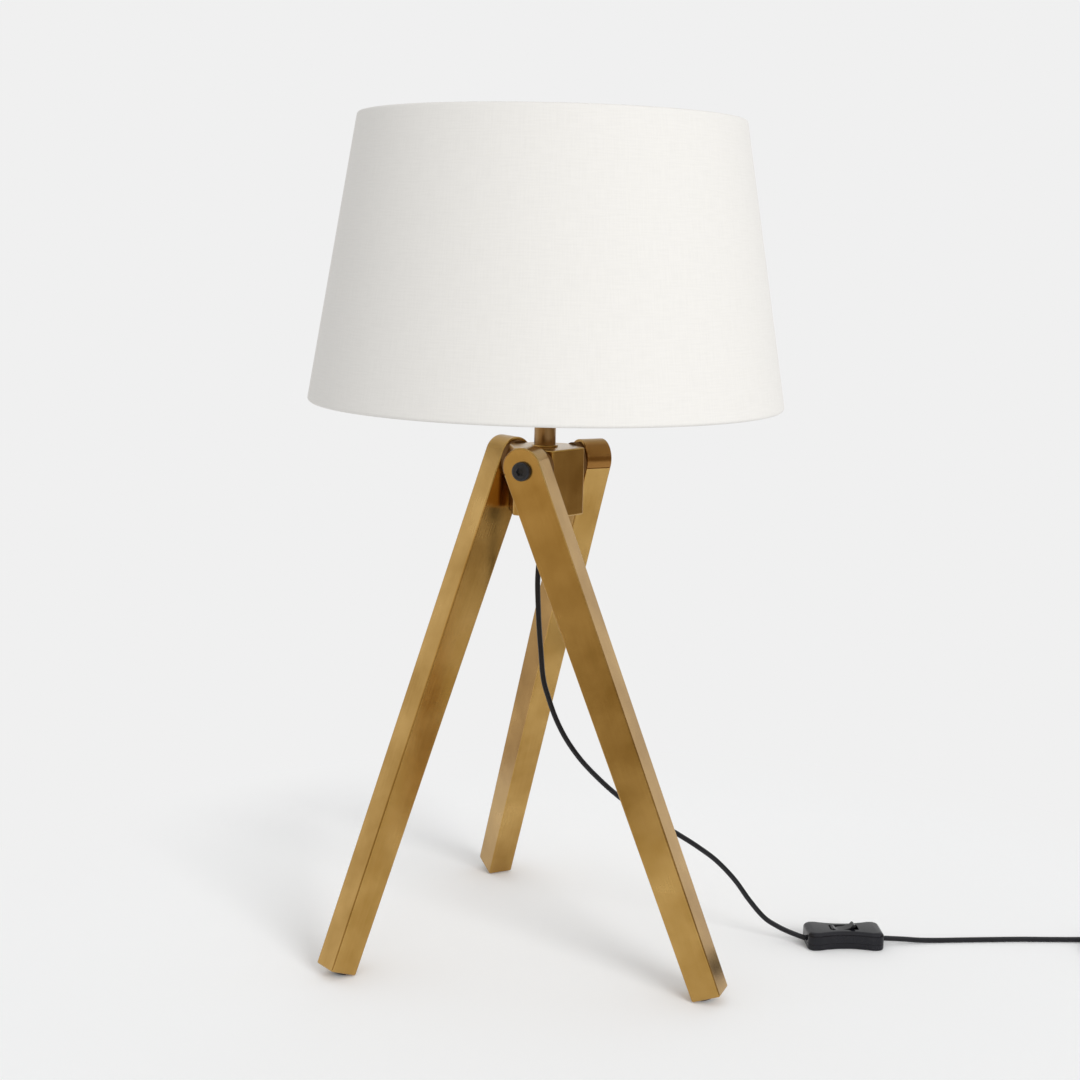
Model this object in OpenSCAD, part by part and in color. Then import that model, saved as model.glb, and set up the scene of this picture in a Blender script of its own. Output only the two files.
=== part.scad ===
// Tripod table lamp: three tapered box legs bolted to a six-sided brass hub, a short stem with
// an E27 holder, a conical fabric shade on a three-armed carrier, and a flex with a hand switch.
// The origin is on the floor under the stem. +Z is up, -Y is the front, +X is the cord's side.

/* [Legs] */
// Length of a leg from its pivot axis to its cut foot end
leg_l = 403; // [300:1:500]
// Angle of each leg from upright
leg_spread = 22.2; // [12:0.1:30]
// Width of a leg across its rounded head
leg_w = 29; // [24:0.5:32]
// Height of the rounded head's centre above the pivot axis, along the leg
head_rise = 2.5; // [0:0.5:5]
// Width of a leg at its foot
foot_w = 22.6; // [18:0.2:28]
// Thickness of a leg along its bolt
leg_t = 21; // [16:0.5:26]
// Sheet thickness of the hollow leg
leg_wall = 1.6; // [1:0.1:3]
// Bevel on the long edges of a leg
leg_bevel = 1.2; // [0.4:0.1:2]
// Length of the solid head block below the pivot axis
head_block = 20; // [14:1:40]
// Sideways shift of a pivot from the middle of its hub face
pivot_shift = 3.4; // [0:0.1:5]
// Direction of the front leg's bolt, in plan
front_dir = -112; // [-118:0.5:-106]
// Direction of the rear leg's bolt, in plan
rear_dir = 27; // [20:0.5:32]
// Direction of the left leg's bolt, in plan
left_dir = 129.5; // [124:0.5:136]

/* [Foot pads] */
// Diameter of the round foot pad
pad_d = 12; // [8:0.5:16]
// Height of the pad below the foot end
pad_t = 1.8; // [1.5:0.1:6]
// Distance of the pad from the inner edge of the foot
pad_edge = 2.5; // [1:0.1:4]
// Diameter of the pad's plug
pad_plug_d = 6; // [4:0.5:8]
// Depth of the flat where a pad meets the floor
pad_flat = 0.4; // [0.2:0.1:0.8]

/* [Hub] */
// Distance from the hub's axis to each of its faces
hub_apothem = 24.8; // [24:0.2:32]
// Height of the hub
hub_h = 50; // [44:1:60]
// Bevel round the hub's top and bottom faces
hub_bevel = 1.2; // [0.5:0.1:2.5]
// Bevel of the hub's upright corners
hub_corner = 1.8; // [0.5:0.1:3]
// Distance from the hub's top to the bolt axes
pivot_drop = 13; // [12:0.5:18]
// Diameter of the recess under the hub
recess_d = 30; // [24:1:34]
// Depth of the recess under the hub
recess_h = 12; // [8:0.5:18]

/* [Pivot bolts] */
// Shank diameter of a pivot bolt
bolt_d = 8; // [6:0.5:10]
// Diameter of the button head
bolt_head_d = 14; // [12:0.5:18]
// Height of the button head
bolt_head_h = 4.4; // [3:0.1:6]
// Width across flats of the hexagon socket
socket_af = 5; // [4:0.5:6]
// Depth of bolt thread in the hub
bolt_grip = 14; // [10:1:17]
// Diameter of a friction washer
washer_d = 29; // [18:0.5:29]
// Thickness of a friction washer
washer_t = 5; // [2:0.1:6]
// Running clearance round a bolt, on the radius
pivot_play = 0.08; // [0.03:0.01:0.1]

/* [Stem] */
// Outer diameter of the stem tube
stem_d = 16; // [14:0.5:20]
// Wall of the stem tube
stem_wall = 1.5; // [1:0.1:2]
// Length of the stem tube
stem_l = 49; // [30:1:120]
// Diameter of the ring at the foot of the stem
collar_d = 19.5; // [17:0.5:26]
// Height of the ring at the foot of the stem
collar_t = 1.2; // [0.8:0.1:3]
// Outer diameter of the threaded pipe
pipe_d = 10; // [9:0.5:11]
// Bore of the threaded pipe
pipe_bore = 7; // [5.5:0.5:8]
// Width across flats of the pipe's nut
nut_af = 17; // [14:0.5:20]
// Thickness of the pipe's nut
nut_t = 4; // [3:0.5:6]

/* [Lamp holder] */
// Height of the holder's domed cap
cap_h = 21; // [16:1:30]
// Height of the holder's threaded sleeve above its flange
sleeve_h = 26; // [20:1:36]
// Diameter of the sleeve's outer thread
sleeve_d = 40; // [38:0.5:42]
// Diameter of the sleeve's flange
flange_d = 47; // [44:0.5:54]
// Thickness of the sleeve's flange
flange_t = 3; // [2:0.5:5]
// Wall of the cap and the sleeve
holder_wall = 2.4; // [1.6:0.1:3]
// Inner diameter of the screw shell's mouth
shell_bore = 26.8; // [26.4:0.1:27.2]
// Depth of the screw shell
shell_h = 24; // [18:1:26]
// Outer diameter of the shade ring
ring_d = 54; // [50:1:64]
// Height of the shade ring
ring_h = 8; // [5:0.5:12]

/* [Shade] */
// Outer diameter of the shade at the bottom
shade_bottom_d = 350; // [260:1:420]
// Outer diameter of the shade at the top
shade_top_d = 279; // [180:1:340]
// Height of the shade
shade_h = 205; // [150:1:260]
// Thickness of the shade's fabric
fabric_t = 0.8; // [0.5:0.1:1.2]
// Thickness of the shade's stiff lining
lining_t = 0.7; // [0.5:0.1:1.2]
// Diameter of the shade's two wire rings
wire_d = 3; // [2.4:0.1:4]
// Length of the fabric turned in over each ring
hem = 9; // [7:0.5:14]
// Rise of the carrier's seat above the shade's bottom edge
carrier_rise = 42; // [25:1:70]
// Diameter of the carrier's arms
arm_d = 2.6; // [2:0.1:2.8]
// Number of arms of the carrier
arms = 3; // [3:1:4]

/* [Cord] */
// Diameter of the flex
cord_d = 4; // [3.5:0.1:5]
// Length of the tapered relief under the hub
gland_l = 26; // [20:1:40]
// Radius of the coil's innermost turn
coil_r = 17.4; // [16:0.2:24]
// Turns in each of the coil's two layers
layer_turns = 3.5; // [2.5:0.5:5]
// Distance between the coil's turns
turn_step = 4.7; // [4.6:0.1:6]
// Distance between the coil's layers
layer_step = 4.7; // [4.6:0.1:6]

/* [Hand switch] */
// Length of the switch
switch_l = 60; // [54:1:70]
// Width of the switch at its ends
switch_w = 28; // [26:0.5:32]
// Height of the switch's flat base
base_h = 5; // [4:0.5:7]
// Height of the switch's cover above the base
cover_h = 9; // [8:0.5:12]
// How far the waist is drawn in on each side
waist = 3.6; // [2:0.1:4]
// Length of the rocker
rocker_l = 19; // [16:0.5:22]
// Width of the rocker
rocker_w = 8; // [6:0.5:9]
// Tilt of the rocker to each side
rocker_tilt = 10; // [6:1:12]

/* [Plug] */
// Length of the plug's body
plug_l = 35; // [30:1:40]
// Width of the plug's body
plug_w = 26; // [24:0.5:28]
// Thickness of the plug's body
plug_t = 13.7; // [12:0.1:16]
// Diameter of a plug pin
pin_d = 4; // [3.8:0.1:4.8]
// Length of a plug pin
pin_l = 19; // [17:0.5:19]
// Distance between the plug pins
pin_gap = 18.6; // [17:0.1:19]
// Length of the plug's tapered relief
relief_l = 24; // [20:1:40]

/* [Hidden] */
$fn = 96;

// One leg after the other: front, rear, left
front = 0;
rear = 1;
left = 2;
dirs = [front_dir, rear_dir, left_dir];

// Heights, from the floor up
seat_clear = 0.05;
pivot_z = (leg_l + pad_t) * cos(leg_spread) + (foot_w / 2 - pad_edge) * sin(leg_spread) - pad_flat;
hub_top = pivot_z + pivot_drop;
hub_bottom = hub_top - hub_h;
recess_top = hub_bottom + recess_h;
stem_z = hub_top + collar_t;
cap_z = stem_z + stem_l;
flange_z = cap_z + cap_h;
seat_z = flange_z + flange_t;
shade_z = seat_z - carrier_rise;
gland_z = recess_top - nut_t;

// Legs and bolts, outwards from the hub's axis
leg_in = hub_apothem + washer_t;
leg_out = leg_in + leg_t;
bolt_tip = hub_apothem - bolt_grip;
pad_b = -(foot_w / 2 - pad_edge - pad_d / 2);

// ---------------------------------------------------------------- helpers

function unit(v) = v / norm(v);

// Point where two upright faces at plan directions a and b, both at the same apothem, meet
function corner(a, b, apothem) = apothem / cos((b - a) / 2) * [cos((a + b) / 2), sin((a + b) / 2)];

// A tube's rings along a route; each ring is square to the route and starts towards ref
function heading(p, i) = unit(p[min(i + 1, len(p) - 1)] - p[max(i - 1, 0)]);
function ring(c, t, ref, r, n) =
    let (u = unit(ref - (ref * t) * t), v = cross(t, u))
    [for (k = [0 : n - 1]) c + r * (cos(360 * k / n) * u + sin(360 * k / n) * v)];
module tube(route, r, n, ref, first, last) {
    loft([for (i = [0 : len(route) - 1])
        ring(route[i], i == 0 ? first : i == len(route) - 1 ? last : heading(route, i), ref, r, n)]);
}

// A closed solid through rings of equally many points, each turning left-handed round the way ahead
module loft(rings) {
    n = len(rings[0]);
    m = len(rings);
    polyhedron(
        points = [for (q = rings) each q],
        faces = concat(
            [[for (k = [0 : n - 1]) k]],
            [for (i = [0 : m - 2], k = [0 : n - 1], half = [0, 1])
                let (a = i * n + k, b = i * n + (k + 1) % n)
                half == 0 ? [a, a + n, b] : [b, a + n, b + n]],
            [[for (k = [n - 1 : -1 : 0]) (m - 1) * n + k]]));
}

// A smooth curve through every point of a list, with a number of steps for each gap
function curve_at(p0, p1, p2, p3, t) = 0.5 * (2 * p1 + (p2 - p0) * t
    + (2 * p0 - 5 * p1 + 4 * p2 - p3) * t * t + (3 * p1 - p0 - 3 * p2 + p3) * t * t * t);
function curve(p, steps) = let (m = len(p) - 1) concat(
    [for (i = [0 : m - 1], s = [0 : steps - 1])
        curve_at(i == 0 ? 2 * p[0] - p[1] : p[i - 1], p[i], p[i + 1],
            i == m - 1 ? 2 * p[m] - p[m - 1] : p[i + 2], s / steps)],
    [p[m]]);
function route_l(p, i = 0) = i >= len(p) - 1 ? 0 : norm(p[i + 1] - p[i]) + route_l(p, i + 1);

// Lays a leg's own frame in place: X out along the bolt, Y across, Z up the leg, origin on the pivot
module at_pivot(k) {
    rotate([0, 0, dirs[k]]) translate([0, pivot_shift, pivot_z]) children();
}
module at_leg(k) {
    at_pivot(k) rotate([leg_spread, 0, 0]) children();
}

// Turns a shape drawn along Z so that it lies along X
module along_x() {
    rotate([0, 90, 0]) children();
}

// ---------------------------------------------------------------- hub and pivots

// The six faces in plan order: each leg's face, and a cut face half way to the next leg
face_dirs = [front_dir, (front_dir + rear_dir) / 2, rear_dir, (rear_dir + left_dir) / 2, left_dir,
    (left_dir + front_dir + 360) / 2];
function face_dir(i) = face_dirs[i % 6] + (i >= 6 ? 360 : 0);

// Hub outline with its corners bevelled, drawn in by inset on every face
function hub_outline(inset) = let (a = hub_apothem - inset)
    [for (i = [0 : 5], side = [0, 1])
        let (c = corner(face_dir(i), face_dir(i + 1), a),
            dir = side == 0 ? face_dir(i) : face_dir(i + 1),
            along = side == 0 ? [sin(dir), -cos(dir)] : [-sin(dir), cos(dir)])
        c + along * hub_corner];

module hub_block() {
    levels = [[hub_bottom, hub_bevel], [hub_bottom + hub_bevel, 0], [hub_top - hub_bevel, 0], [hub_top, hub_bevel]];
    color("#A57B38") difference() {
        loft([for (l = levels) [for (q = hub_outline(l[1])) [q.x, q.y, l[0]]]]);
        translate([0, 0, hub_bottom - 1]) cylinder(d = recess_d, h = recess_h + 1);
        translate([0, 0, hub_bottom]) cylinder(r = pipe_d / 2 + seat_clear, h = hub_h + 1);
        for (k = [front, rear, left])
            at_pivot(k) translate([bolt_tip - 2, 0, 0]) along_x()
                cylinder(r = bolt_d / 2 + seat_clear, h = bolt_grip + 3);
    }
}

module friction_washers() {
    color("#17151A") for (k = [front, rear, left])
        at_pivot(k) translate([hub_apothem, 0, 0]) along_x() difference() {
            cylinder(d = washer_d, h = washer_t);
            translate([0, 0, -1]) cylinder(r = bolt_d / 2 + seat_clear, h = washer_t + 2);
        }
}

// Button-head bolt along Z, head up, with the underside of its head at zero
module button_bolt(grip_l) {
    crown = bolt_head_h * 0.45;
    difference() {
        union() {
            translate([0, 0, -grip_l]) cylinder(d = bolt_d, h = grip_l + 0.5);
            rotate_extrude() polygon(concat([[0, 0], [bolt_head_d / 2, 0]],
                [for (a = [0 : 15 : 75])
                    [bolt_head_d / 2 - (bolt_head_h - crown) * (1 - cos(a)), crown + (bolt_head_h - crown) * sin(a)]],
                [[0, bolt_head_h]]));
        }
        translate([0, 0, bolt_head_h * 0.4]) cylinder(d = socket_af / cos(30), h = bolt_head_h, $fn = 6);
    }
}
module pivot_bolts() {
    color("#1B1A1C") for (k = [front, rear, left])
        at_pivot(k) translate([leg_out + seat_clear, 0, 0]) along_x() rotate([0, 0, 12])
            button_bolt(leg_out + seat_clear - bolt_tip);
}

// ---------------------------------------------------------------- legs

// Half width of a leg at a depth below the pivot axis
function half_w(depth) = (leg_w - (leg_w - foot_w) * (depth + head_rise) / (leg_l + head_rise)) / 2;

// Side outline of a leg, drawn in by inset: the round head over the tapered bar
head_steps = 40;
function leg_outline(inset) = concat(
    [for (i = [0 : head_steps]) let (a = 180 * i / head_steps, r = leg_w / 2 - inset)
        [r * cos(a), head_rise + r * sin(a)]],
    [for (s = [-1, 1]) [s * (half_w(leg_l - inset) - inset), inset - leg_l]]);

module leg() {
    levels = [[leg_in, leg_bevel], [leg_in + leg_bevel, 0], [leg_out - leg_bevel, 0], [leg_out, leg_bevel]];
    difference() {
        loft([for (l = levels) [for (q = leg_outline(l[1])) [l[0], q.x, q.y]]]);
        translate([leg_in - 1, 0, 0]) along_x() cylinder(r = bolt_d / 2 + pivot_play, h = leg_t + 2);
        // hollow of the folded sheet, between the head block and the foot's end plate
        translate([leg_in + leg_wall, 0, 0]) rotate([90, 0, 90]) linear_extrude(leg_t - 2 * leg_wall)
            polygon([for (d = [head_block, leg_l - 2 * leg_wall], s = [-1, 1])
                let (side = d == head_block ? s : -s) [side * (half_w(d) - leg_wall), -d]]);
        // hole for the foot pad's plug
        translate([(leg_in + leg_out) / 2, pad_b, -leg_l - 1]) cylinder(r = pad_plug_d / 2 + seat_clear, h = 2 * leg_wall + 2);
    }
}
module leg_front() { color("#B48A48") at_leg(front) leg(); }
module leg_rear() { color("#B48A48") at_leg(rear) leg(); }
module leg_left() { color("#B48A48") at_leg(left) leg(); }

module foot_pad(k) {
    plug_h = 2 * leg_wall + 1.5;
    color("#2A2422") difference() {
        at_leg(k) translate([(leg_in + leg_out) / 2, pad_b, -leg_l]) {
            translate([0, 0, -pad_t]) cylinder(d = pad_d, h = pad_t);
            translate([0, 0, -0.5]) cylinder(d = pad_plug_d, h = plug_h + 0.5);
        }
        // the flat that it stands on
        translate([-leg_l, -leg_l, -20]) cube([2 * leg_l, 2 * leg_l, 20]);
    }
}
module foot_pad_front() { foot_pad(front); }
module foot_pad_rear() { foot_pad(rear); }
module foot_pad_left() { foot_pad(left); }

// ---------------------------------------------------------------- stem

pipe_low = gland_z - 6;
pipe_high = cap_z + 9;
module threaded_pipe() {
    color("#C9A45C") translate([0, 0, pipe_low]) difference() {
        cylinder(d = pipe_d, h = pipe_high - pipe_low);
        translate([0, 0, -1]) cylinder(d = pipe_bore, h = pipe_high - pipe_low + 2);
    }
}
module pipe_nut() {
    color("#B9BBBE") translate([0, 0, gland_z]) difference() {
        cylinder(d = nut_af / cos(30), h = nut_t, $fn = 6);
        translate([0, 0, -1]) cylinder(r = pipe_d / 2 + seat_clear, h = nut_t + 2);
    }
}
module cord_gland() {
    collar_h = 8;
    color("#17181A") translate([0, 0, gland_z]) rotate_extrude() polygon([
        [pipe_d / 2 + seat_clear, 0], [7.5, 0], [7.5, -collar_h + 1], [6.5, -collar_h],
        [cord_d / 2 + 2.6, -collar_h], [cord_d / 2 + 1.1, 1 - gland_l], [cord_d / 2 + 0.6, -gland_l],
        [cord_d / 2 + seat_clear, -gland_l], [cord_d / 2 + seat_clear, -collar_h - 1],
        [pipe_bore / 2, -collar_h + 1], [pipe_bore / 2, -6], [pipe_d / 2 + seat_clear, -6]]);
}
// The flex inside the gland and the pipe, up to its hole in the holder's core
module pipe_flex() {
    color("#1D1E20") translate([0, 0, gland_z - gland_l]) cylinder(d = cord_d, h = flange_z - 1 - gland_z + gland_l);
}
module stem_collar() {
    color("#C9A45C") translate([0, 0, hub_top]) difference() {
        cylinder(d = collar_d, h = collar_t);
        translate([0, 0, -1]) cylinder(r = pipe_d / 2 + seat_clear, h = collar_t + 2);
    }
}
module stem_tube() {
    color("#A57B38") translate([0, 0, stem_z]) difference() {
        cylinder(d = stem_d, h = stem_l);
        translate([0, 0, -1]) cylinder(d = stem_d - 2 * stem_wall, h = stem_l + 2);
    }
}

// ---------------------------------------------------------------- lamp holder

sleeve_r = sleeve_d / 2;
module holder_cap() {
    shoulder = cap_h * 0.45;
    color("#202124") translate([0, 0, cap_z]) rotate_extrude() polygon(concat(
        [[pipe_d / 2 + seat_clear, 0], [stem_d / 2 + 1, 0]],
        [for (a = [0 : 15 : 90])
            [stem_d / 2 + 1 + (sleeve_r - stem_d / 2 - 1) * sin(a), 1 + shoulder * (1 - cos(a))]],
        [[sleeve_r, cap_h], [sleeve_r - holder_wall, cap_h], [sleeve_r - holder_wall, shoulder + 4],
            [stem_d / 2 + 3, 5], [pipe_d / 2 + seat_clear, 5]]));
}
module holder_sleeve() {
    inner = sleeve_r - holder_wall;
    color("#202124") translate([0, 0, flange_z]) rotate_extrude() polygon([
        [inner, 0], [flange_d / 2, 0], [flange_d / 2, flange_t], [sleeve_r, flange_t],
        [sleeve_r, flange_t + sleeve_h - 1], [sleeve_r - 1, flange_t + sleeve_h], [inner - 2, flange_t + sleeve_h],
        [inner - 2, flange_t + sleeve_h - 2], [inner, flange_t + sleeve_h - 2]]);
}
// Porcelain core: terminals underneath, a step for the screw shell and a well for the centre contact
well_d = 10;
well_h = 4;
core_z = flange_z - 4;
core_h = 8;
shell_z = core_z + core_h;
shell_t = 0.5;
module holder_core() {
    inner = sleeve_r - holder_wall - seat_clear;
    step_r = shell_bore / 2 + shell_t + seat_clear;
    color("#E9E6DF") translate([0, 0, core_z]) difference() {
        rotate_extrude() polygon([[0, 0], [inner - 3, 0], [inner - 3, 4], [inner, 4], [inner, core_h + 1],
            [step_r + 1.2, core_h + 1], [step_r + 1.2, core_h + 7], [step_r, core_h + 7], [step_r, core_h], [0, core_h]]);
        for (s = [-1, 1]) translate([s * 9, 0, -1]) cylinder(d = 4, h = 4);
        translate([0, 0, -1]) cylinder(r = cord_d / 2 + 0.5, h = 4);
        translate([0, 0, core_h - well_h]) cylinder(d = well_d, h = well_h + 1);
    }
}
module screw_shell() {
    bore = shell_bore / 2;
    color("#C8A860") translate([0, 0, shell_z]) rotate_extrude() polygon([
        [well_d / 2 + 1.5, 0], [bore + shell_t, 0], [bore + shell_t, shell_h], [bore, shell_h], [bore, shell_t],
        [well_d / 2 + 1.5, shell_t]]);
}
module centre_contact() {
    color("#C8A860") translate([0, 0, shell_z - well_h]) {
        cylinder(d = well_d - 2, h = 1.5);
        translate([0, 0, 1]) cylinder(d1 = well_d - 4, d2 = 3.5, h = well_h - 1.2);
    }
}
module terminal_screws() {
    color("#C9CBCE") for (s = [-1, 1]) translate([s * 9, 0, core_z]) difference() {
        union() {
            translate([0, 0, -1.6]) cylinder(d = 3.4, h = 4.6);
            translate([0, 0, -3]) cylinder(d = 5.4, h = 3);
        }
        translate([-4, -0.4, -4]) cube([8, 0.8, 1.6]);
    }
}

// ---------------------------------------------------------------- shade

plate_t = 1.2;
module shade_ring() {
    color("#202124") translate([0, 0, seat_z + plate_t]) difference() {
        rotate_extrude() polygon([[sleeve_r + seat_clear, 0], [ring_d / 2, 0], [ring_d / 2, 1.6], [sleeve_r + 3, 2.4],
            [sleeve_r + 3, ring_h - 0.6], [sleeve_r + 2.4, ring_h], [sleeve_r + seat_clear, ring_h]]);
        for (i = [0 : 11]) rotate([0, 0, 30 * i]) translate([sleeve_r + 3, 0, 2.6]) cylinder(d = 1.6, h = ring_h, $fn = 16);
    }
}

// Slope of the shade's side, and its outer radius at a height above the bottom edge
shade_lean = atan((shade_bottom_d - shade_top_d) / 2 / shade_h);
function shade_r(h) = shade_bottom_d / 2 - h * tan(shade_lean);
// Middle of the wire ring inside the fabric's fold, at the bottom and at the top edge
fold_r = wire_d / 2 + fabric_t;
ring_low = [shade_bottom_d / 2 - fold_r / cos(shade_lean) - fold_r * tan(shade_lean), fold_r];
ring_high = [shade_r(shade_h - fold_r) - fold_r / cos(shade_lean), shade_h - fold_r];

// Fabric outline: a straight side that turns in round the lower and the upper wire
function arc(c, r, a0, a1, n) = [for (i = [0 : n]) let (a = a0 + (a1 - a0) * i / n) c + r * [cos(a), sin(a)]];
module shade_fabric() {
    side = [cos(shade_lean), sin(shade_lean)];
    up = [-sin(shade_lean), cos(shade_lean)];
    gap = wire_d / 2 + seat_clear;
    lip_low = ring_low - side * fold_r + up * hem;
    lip_high = ring_high - side * fold_r - up * hem;
    color("#F4F2EC") difference() {
        translate([0, 0, shade_z]) rotate_extrude($fn = 120) polygon(concat(
            arc(ring_high, fold_r, shade_lean, 180 + shade_lean, 10),
            [lip_high, lip_high + side * (fabric_t - seat_clear)],
            arc(ring_high, gap, 180 + shade_lean, shade_lean, 8),
            arc(ring_low, gap, shade_lean, shade_lean - 180, 8),
            [lip_low + side * (fabric_t - seat_clear), lip_low],
            arc(ring_low, fold_r, shade_lean - 180, shade_lean, 10)));
        // notches where the carrier's arms pass the fold
        at_arms() rod(arm_knee, arm_tip, arm_d + 0.6);
    }
}
// The stiff lining stands against the inside of the fabric, between the two wires
module shade_lining() {
    side = [cos(shade_lean), sin(shade_lean)];
    up = [-sin(shade_lean), cos(shade_lean)];
    out = wire_d / 2;
    low = ring_low + side * out + up * (wire_d / 2 + 0.4);
    high = ring_high + side * out - up * (wire_d / 2 + 0.4);
    color("#FBFAF6") translate([0, 0, shade_z]) rotate_extrude($fn = 120)
        polygon([low, high, high - side * lining_t, low - side * lining_t]);
}
module wire_ring(c) {
    translate([0, 0, shade_z + c.y]) rotate_extrude($fn = 120) translate([c.x, 0]) circle(d = wire_d, $fn = 24);
}
module shade_top_wire() { color("#ECEBE6") wire_ring(ring_high); }

// Carrier: a flat ring on the holder's flange, with arms that slope down to the lower wire, all one
// welded piece. The arms leave the seat just under the shade ring
arm_seat = [sleeve_r + 4, seat_z + plate_t - 0.2 - arm_d / 2 - shade_z];
arm_knee = [arm_seat.x + 8, arm_seat.y];
arm_tip = [ring_low.x - 0.3, ring_low.y];
module at_arms() {
    for (i = [0 : arms - 1]) rotate([0, 0, 90 + 360 * i / arms]) translate([0, 0, shade_z]) children();
}
// A round rod between two points of the X-Z plane
module rod(a, b, d) {
    run = b - a;
    translate([a.x, 0, a.y]) rotate([0, 90 - atan2(run.y, run.x), 0]) cylinder(d = d, h = norm(run), $fn = 24);
}
module shade_carrier() {
    color("#ECEBE6") {
        translate([0, 0, seat_z]) difference() {
            cylinder(r = sleeve_r + 7, h = plate_t);
            translate([0, 0, -1]) cylinder(r = sleeve_r + 0.3, h = plate_t + 2);
        }
        wire_ring(ring_low);
        at_arms() {
            rod(arm_seat, arm_knee, arm_d);
            translate([arm_knee.x, 0, arm_knee.y]) sphere(d = arm_d + 0.3, $fn = 24);
            rod(arm_knee, arm_tip, arm_d);
        }
    }
}

// ---------------------------------------------------------------- cord

// Places chosen by hand: the lead from the gland to the switch, and the tail from the switch to the coil
gland_end = gland_z - gland_l;
lead_points = [[0, 0, gland_end], [-0.6, 0, gland_end - 7], [-2.4, 0, 302], [-3, 0, 288], [-2.4, 0, 273],
    [-1.2, 0, 254], [0.6, 0, 235], [3, 0, 213], [7.6, 0, 197], [13.6, 0, 181], [22, 0, 165], [33.4, 1, 149],
    [47, 2, 134.5], [62, 3.5, 120.8], [80, 5.5, 107.2], [96, 7.5, 97.4], [111, 9.5, 88], [126.5, 12, 77.6],
    [142, 14.5, 65.5], [157, 16.5, 49.6], [169.5, 17, 32.6], [181.5, 16.2, 19], [191.8, 14.8, 12.6],
    [201.6, 12.8, 8.6]];
tail_points = [[292, 15, 4], [306, 17, 2.6], [322, 19, 2], [342, 21, 2], [364, 23, 2], [388, 25, 2],
    [412, 26, 2], [436, 27, 2.2], [456, 28, 3]];
switch_at = [244, 11.6];
switch_turn = 3;
coil_at = [475, -5];
tie_t = 0.8;

cord_sides = 8;
cord_r = cord_d / 2;
floor_up = [0, 0, 1];
switch_x = [cos(switch_turn), sin(switch_turn), 0];
switch_mid = [switch_at.x, switch_at.y, base_h];
lead_end = switch_mid - switch_x * switch_l / 2;
tail_start = switch_mid + switch_x * switch_l / 2;

lead_route = curve(concat(lead_points, [lead_end]), 2);
module cord_lead() {
    color("#1D1E20") tube(lead_route, cord_r, cord_sides, [0, 1, 0], [0, 0, -1], switch_x);
}

// The coil: two layers of turns, in on the lower layer, a climb in the half turn where the
// spiral reverses, and out again on the upper layer
coil_rings = 24;
coil_n = round(2 * layer_turns * coil_rings);
coil_outer = coil_r + layer_turns * turn_step;
coil_z = cord_r + tie_t + seat_clear;
function climb(t) = let (h = min(max((t - layer_turns + 0.25) * 2, 0), 1)) h * h * (3 - 2 * h);
function coil_point(i) =
    let (t = i / coil_rings, a = 90 - 360 * t, r = coil_r + turn_step * abs(layer_turns - t))
    [coil_at.x + r * cos(a), coil_at.y + r * sin(a), coil_z + layer_step * climb(t)];
coil_route = [for (i = [0 : coil_n]) coil_point(i)];
coil_in = [1, 0, 0];
coil_out_a = 90 - 360 * 2 * layer_turns;
coil_out = [sin(coil_out_a), -cos(coil_out_a), 0];
coil_body = concat([coil_route[0] - coil_in * cord_d], coil_route, [coil_route[coil_n] + coil_out * cord_d]);
// Least distance between tube surfaces of turns that lie next to each other
coil_gap = min([for (i = [0 : coil_n - 18], j = [i + 18 : coil_n])
    norm(coil_route[i] - coil_route[j])]) - cord_d;
echo(coil_gap = coil_gap, coil_length = route_l(coil_body));
module cord_coil() {
    color("#1D1E20") tube(coil_body, cord_r, 6, floor_up, coil_in, coil_out);
}

tail_route = curve(concat([tail_start, tail_start + switch_x * cord_d], tail_points,
    [coil_body[0] - coil_in * cord_d, coil_body[0]]), 2);
module cord_tail() {
    color("#1D1E20") tube(tail_route, cord_r, cord_sides, floor_up, switch_x, coil_in);
}

// The last stretch comes straight off the coil's upper layer and bends down to the plug beside it
end_r = 4 * cord_d + 0.5;
coil_last = coil_body[len(coil_body) - 1];
plug_at = [coil_at.x + coil_outer + 12, coil_last.y - end_r - relief_l - 2];
plug_dir = [0, -1, 0];
plug_z = plug_t / 2;
bend_at = [plug_at.x - end_r, coil_last.y - end_r];
end_points = concat([coil_last, coil_last + coil_out * cord_d, coil_last + coil_out * 3 * cord_d],
    [for (a = [90 : -15 : 0]) [bend_at.x + end_r * cos(a), bend_at.y + end_r * sin(a),
        plug_z + (coil_last.z - plug_z) * (1 - cos(2 * a)) / 2]],
    [[plug_at.x, plug_at.y + relief_l, plug_z]]);
end_route = curve(end_points, 3);
module cord_end() {
    color("#1D1E20") tube(end_route, cord_r, cord_sides, floor_up, coil_out, plug_dir);
}
echo(lead = route_l(lead_route), tail = route_l(tail_route), coil = route_l(coil_body), end = route_l(end_route),
    cord = route_l(lead_route) + route_l(tail_route) + route_l(coil_body) + route_l(end_route));

// A flat band that goes once round all the turns at the left of the coil
module coil_tie() {
    band_w = 6;
    low = coil_r + 0.08 * turn_step - cord_r;
    high = coil_r + (layer_turns - 0.3) * turn_step + cord_r;
    top = coil_z + layer_step + cord_r + seat_clear;
    color("#2C2D30") translate([coil_at.x, coil_at.y, 0]) rotate([0, 0, 225]) translate([0, -band_w / 2, 0]) difference() {
        translate([low - tie_t, 0, 0]) cube([high - low + 2 * tie_t, band_w, top + tie_t]);
        translate([low, -1, tie_t]) cube([high - low, band_w + 2, top - tie_t]);
    }
}

// ---------------------------------------------------------------- hand switch

module at_switch() {
    translate([switch_at.x, switch_at.y, 0]) rotate([0, 0, switch_turn]) children();
}
switch_h = base_h + cover_h;
switch_wall = 2;
waist_half = switch_l * 0.34;
waist_r = (waist_half * waist_half + waist * waist) / (2 * waist);

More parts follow.
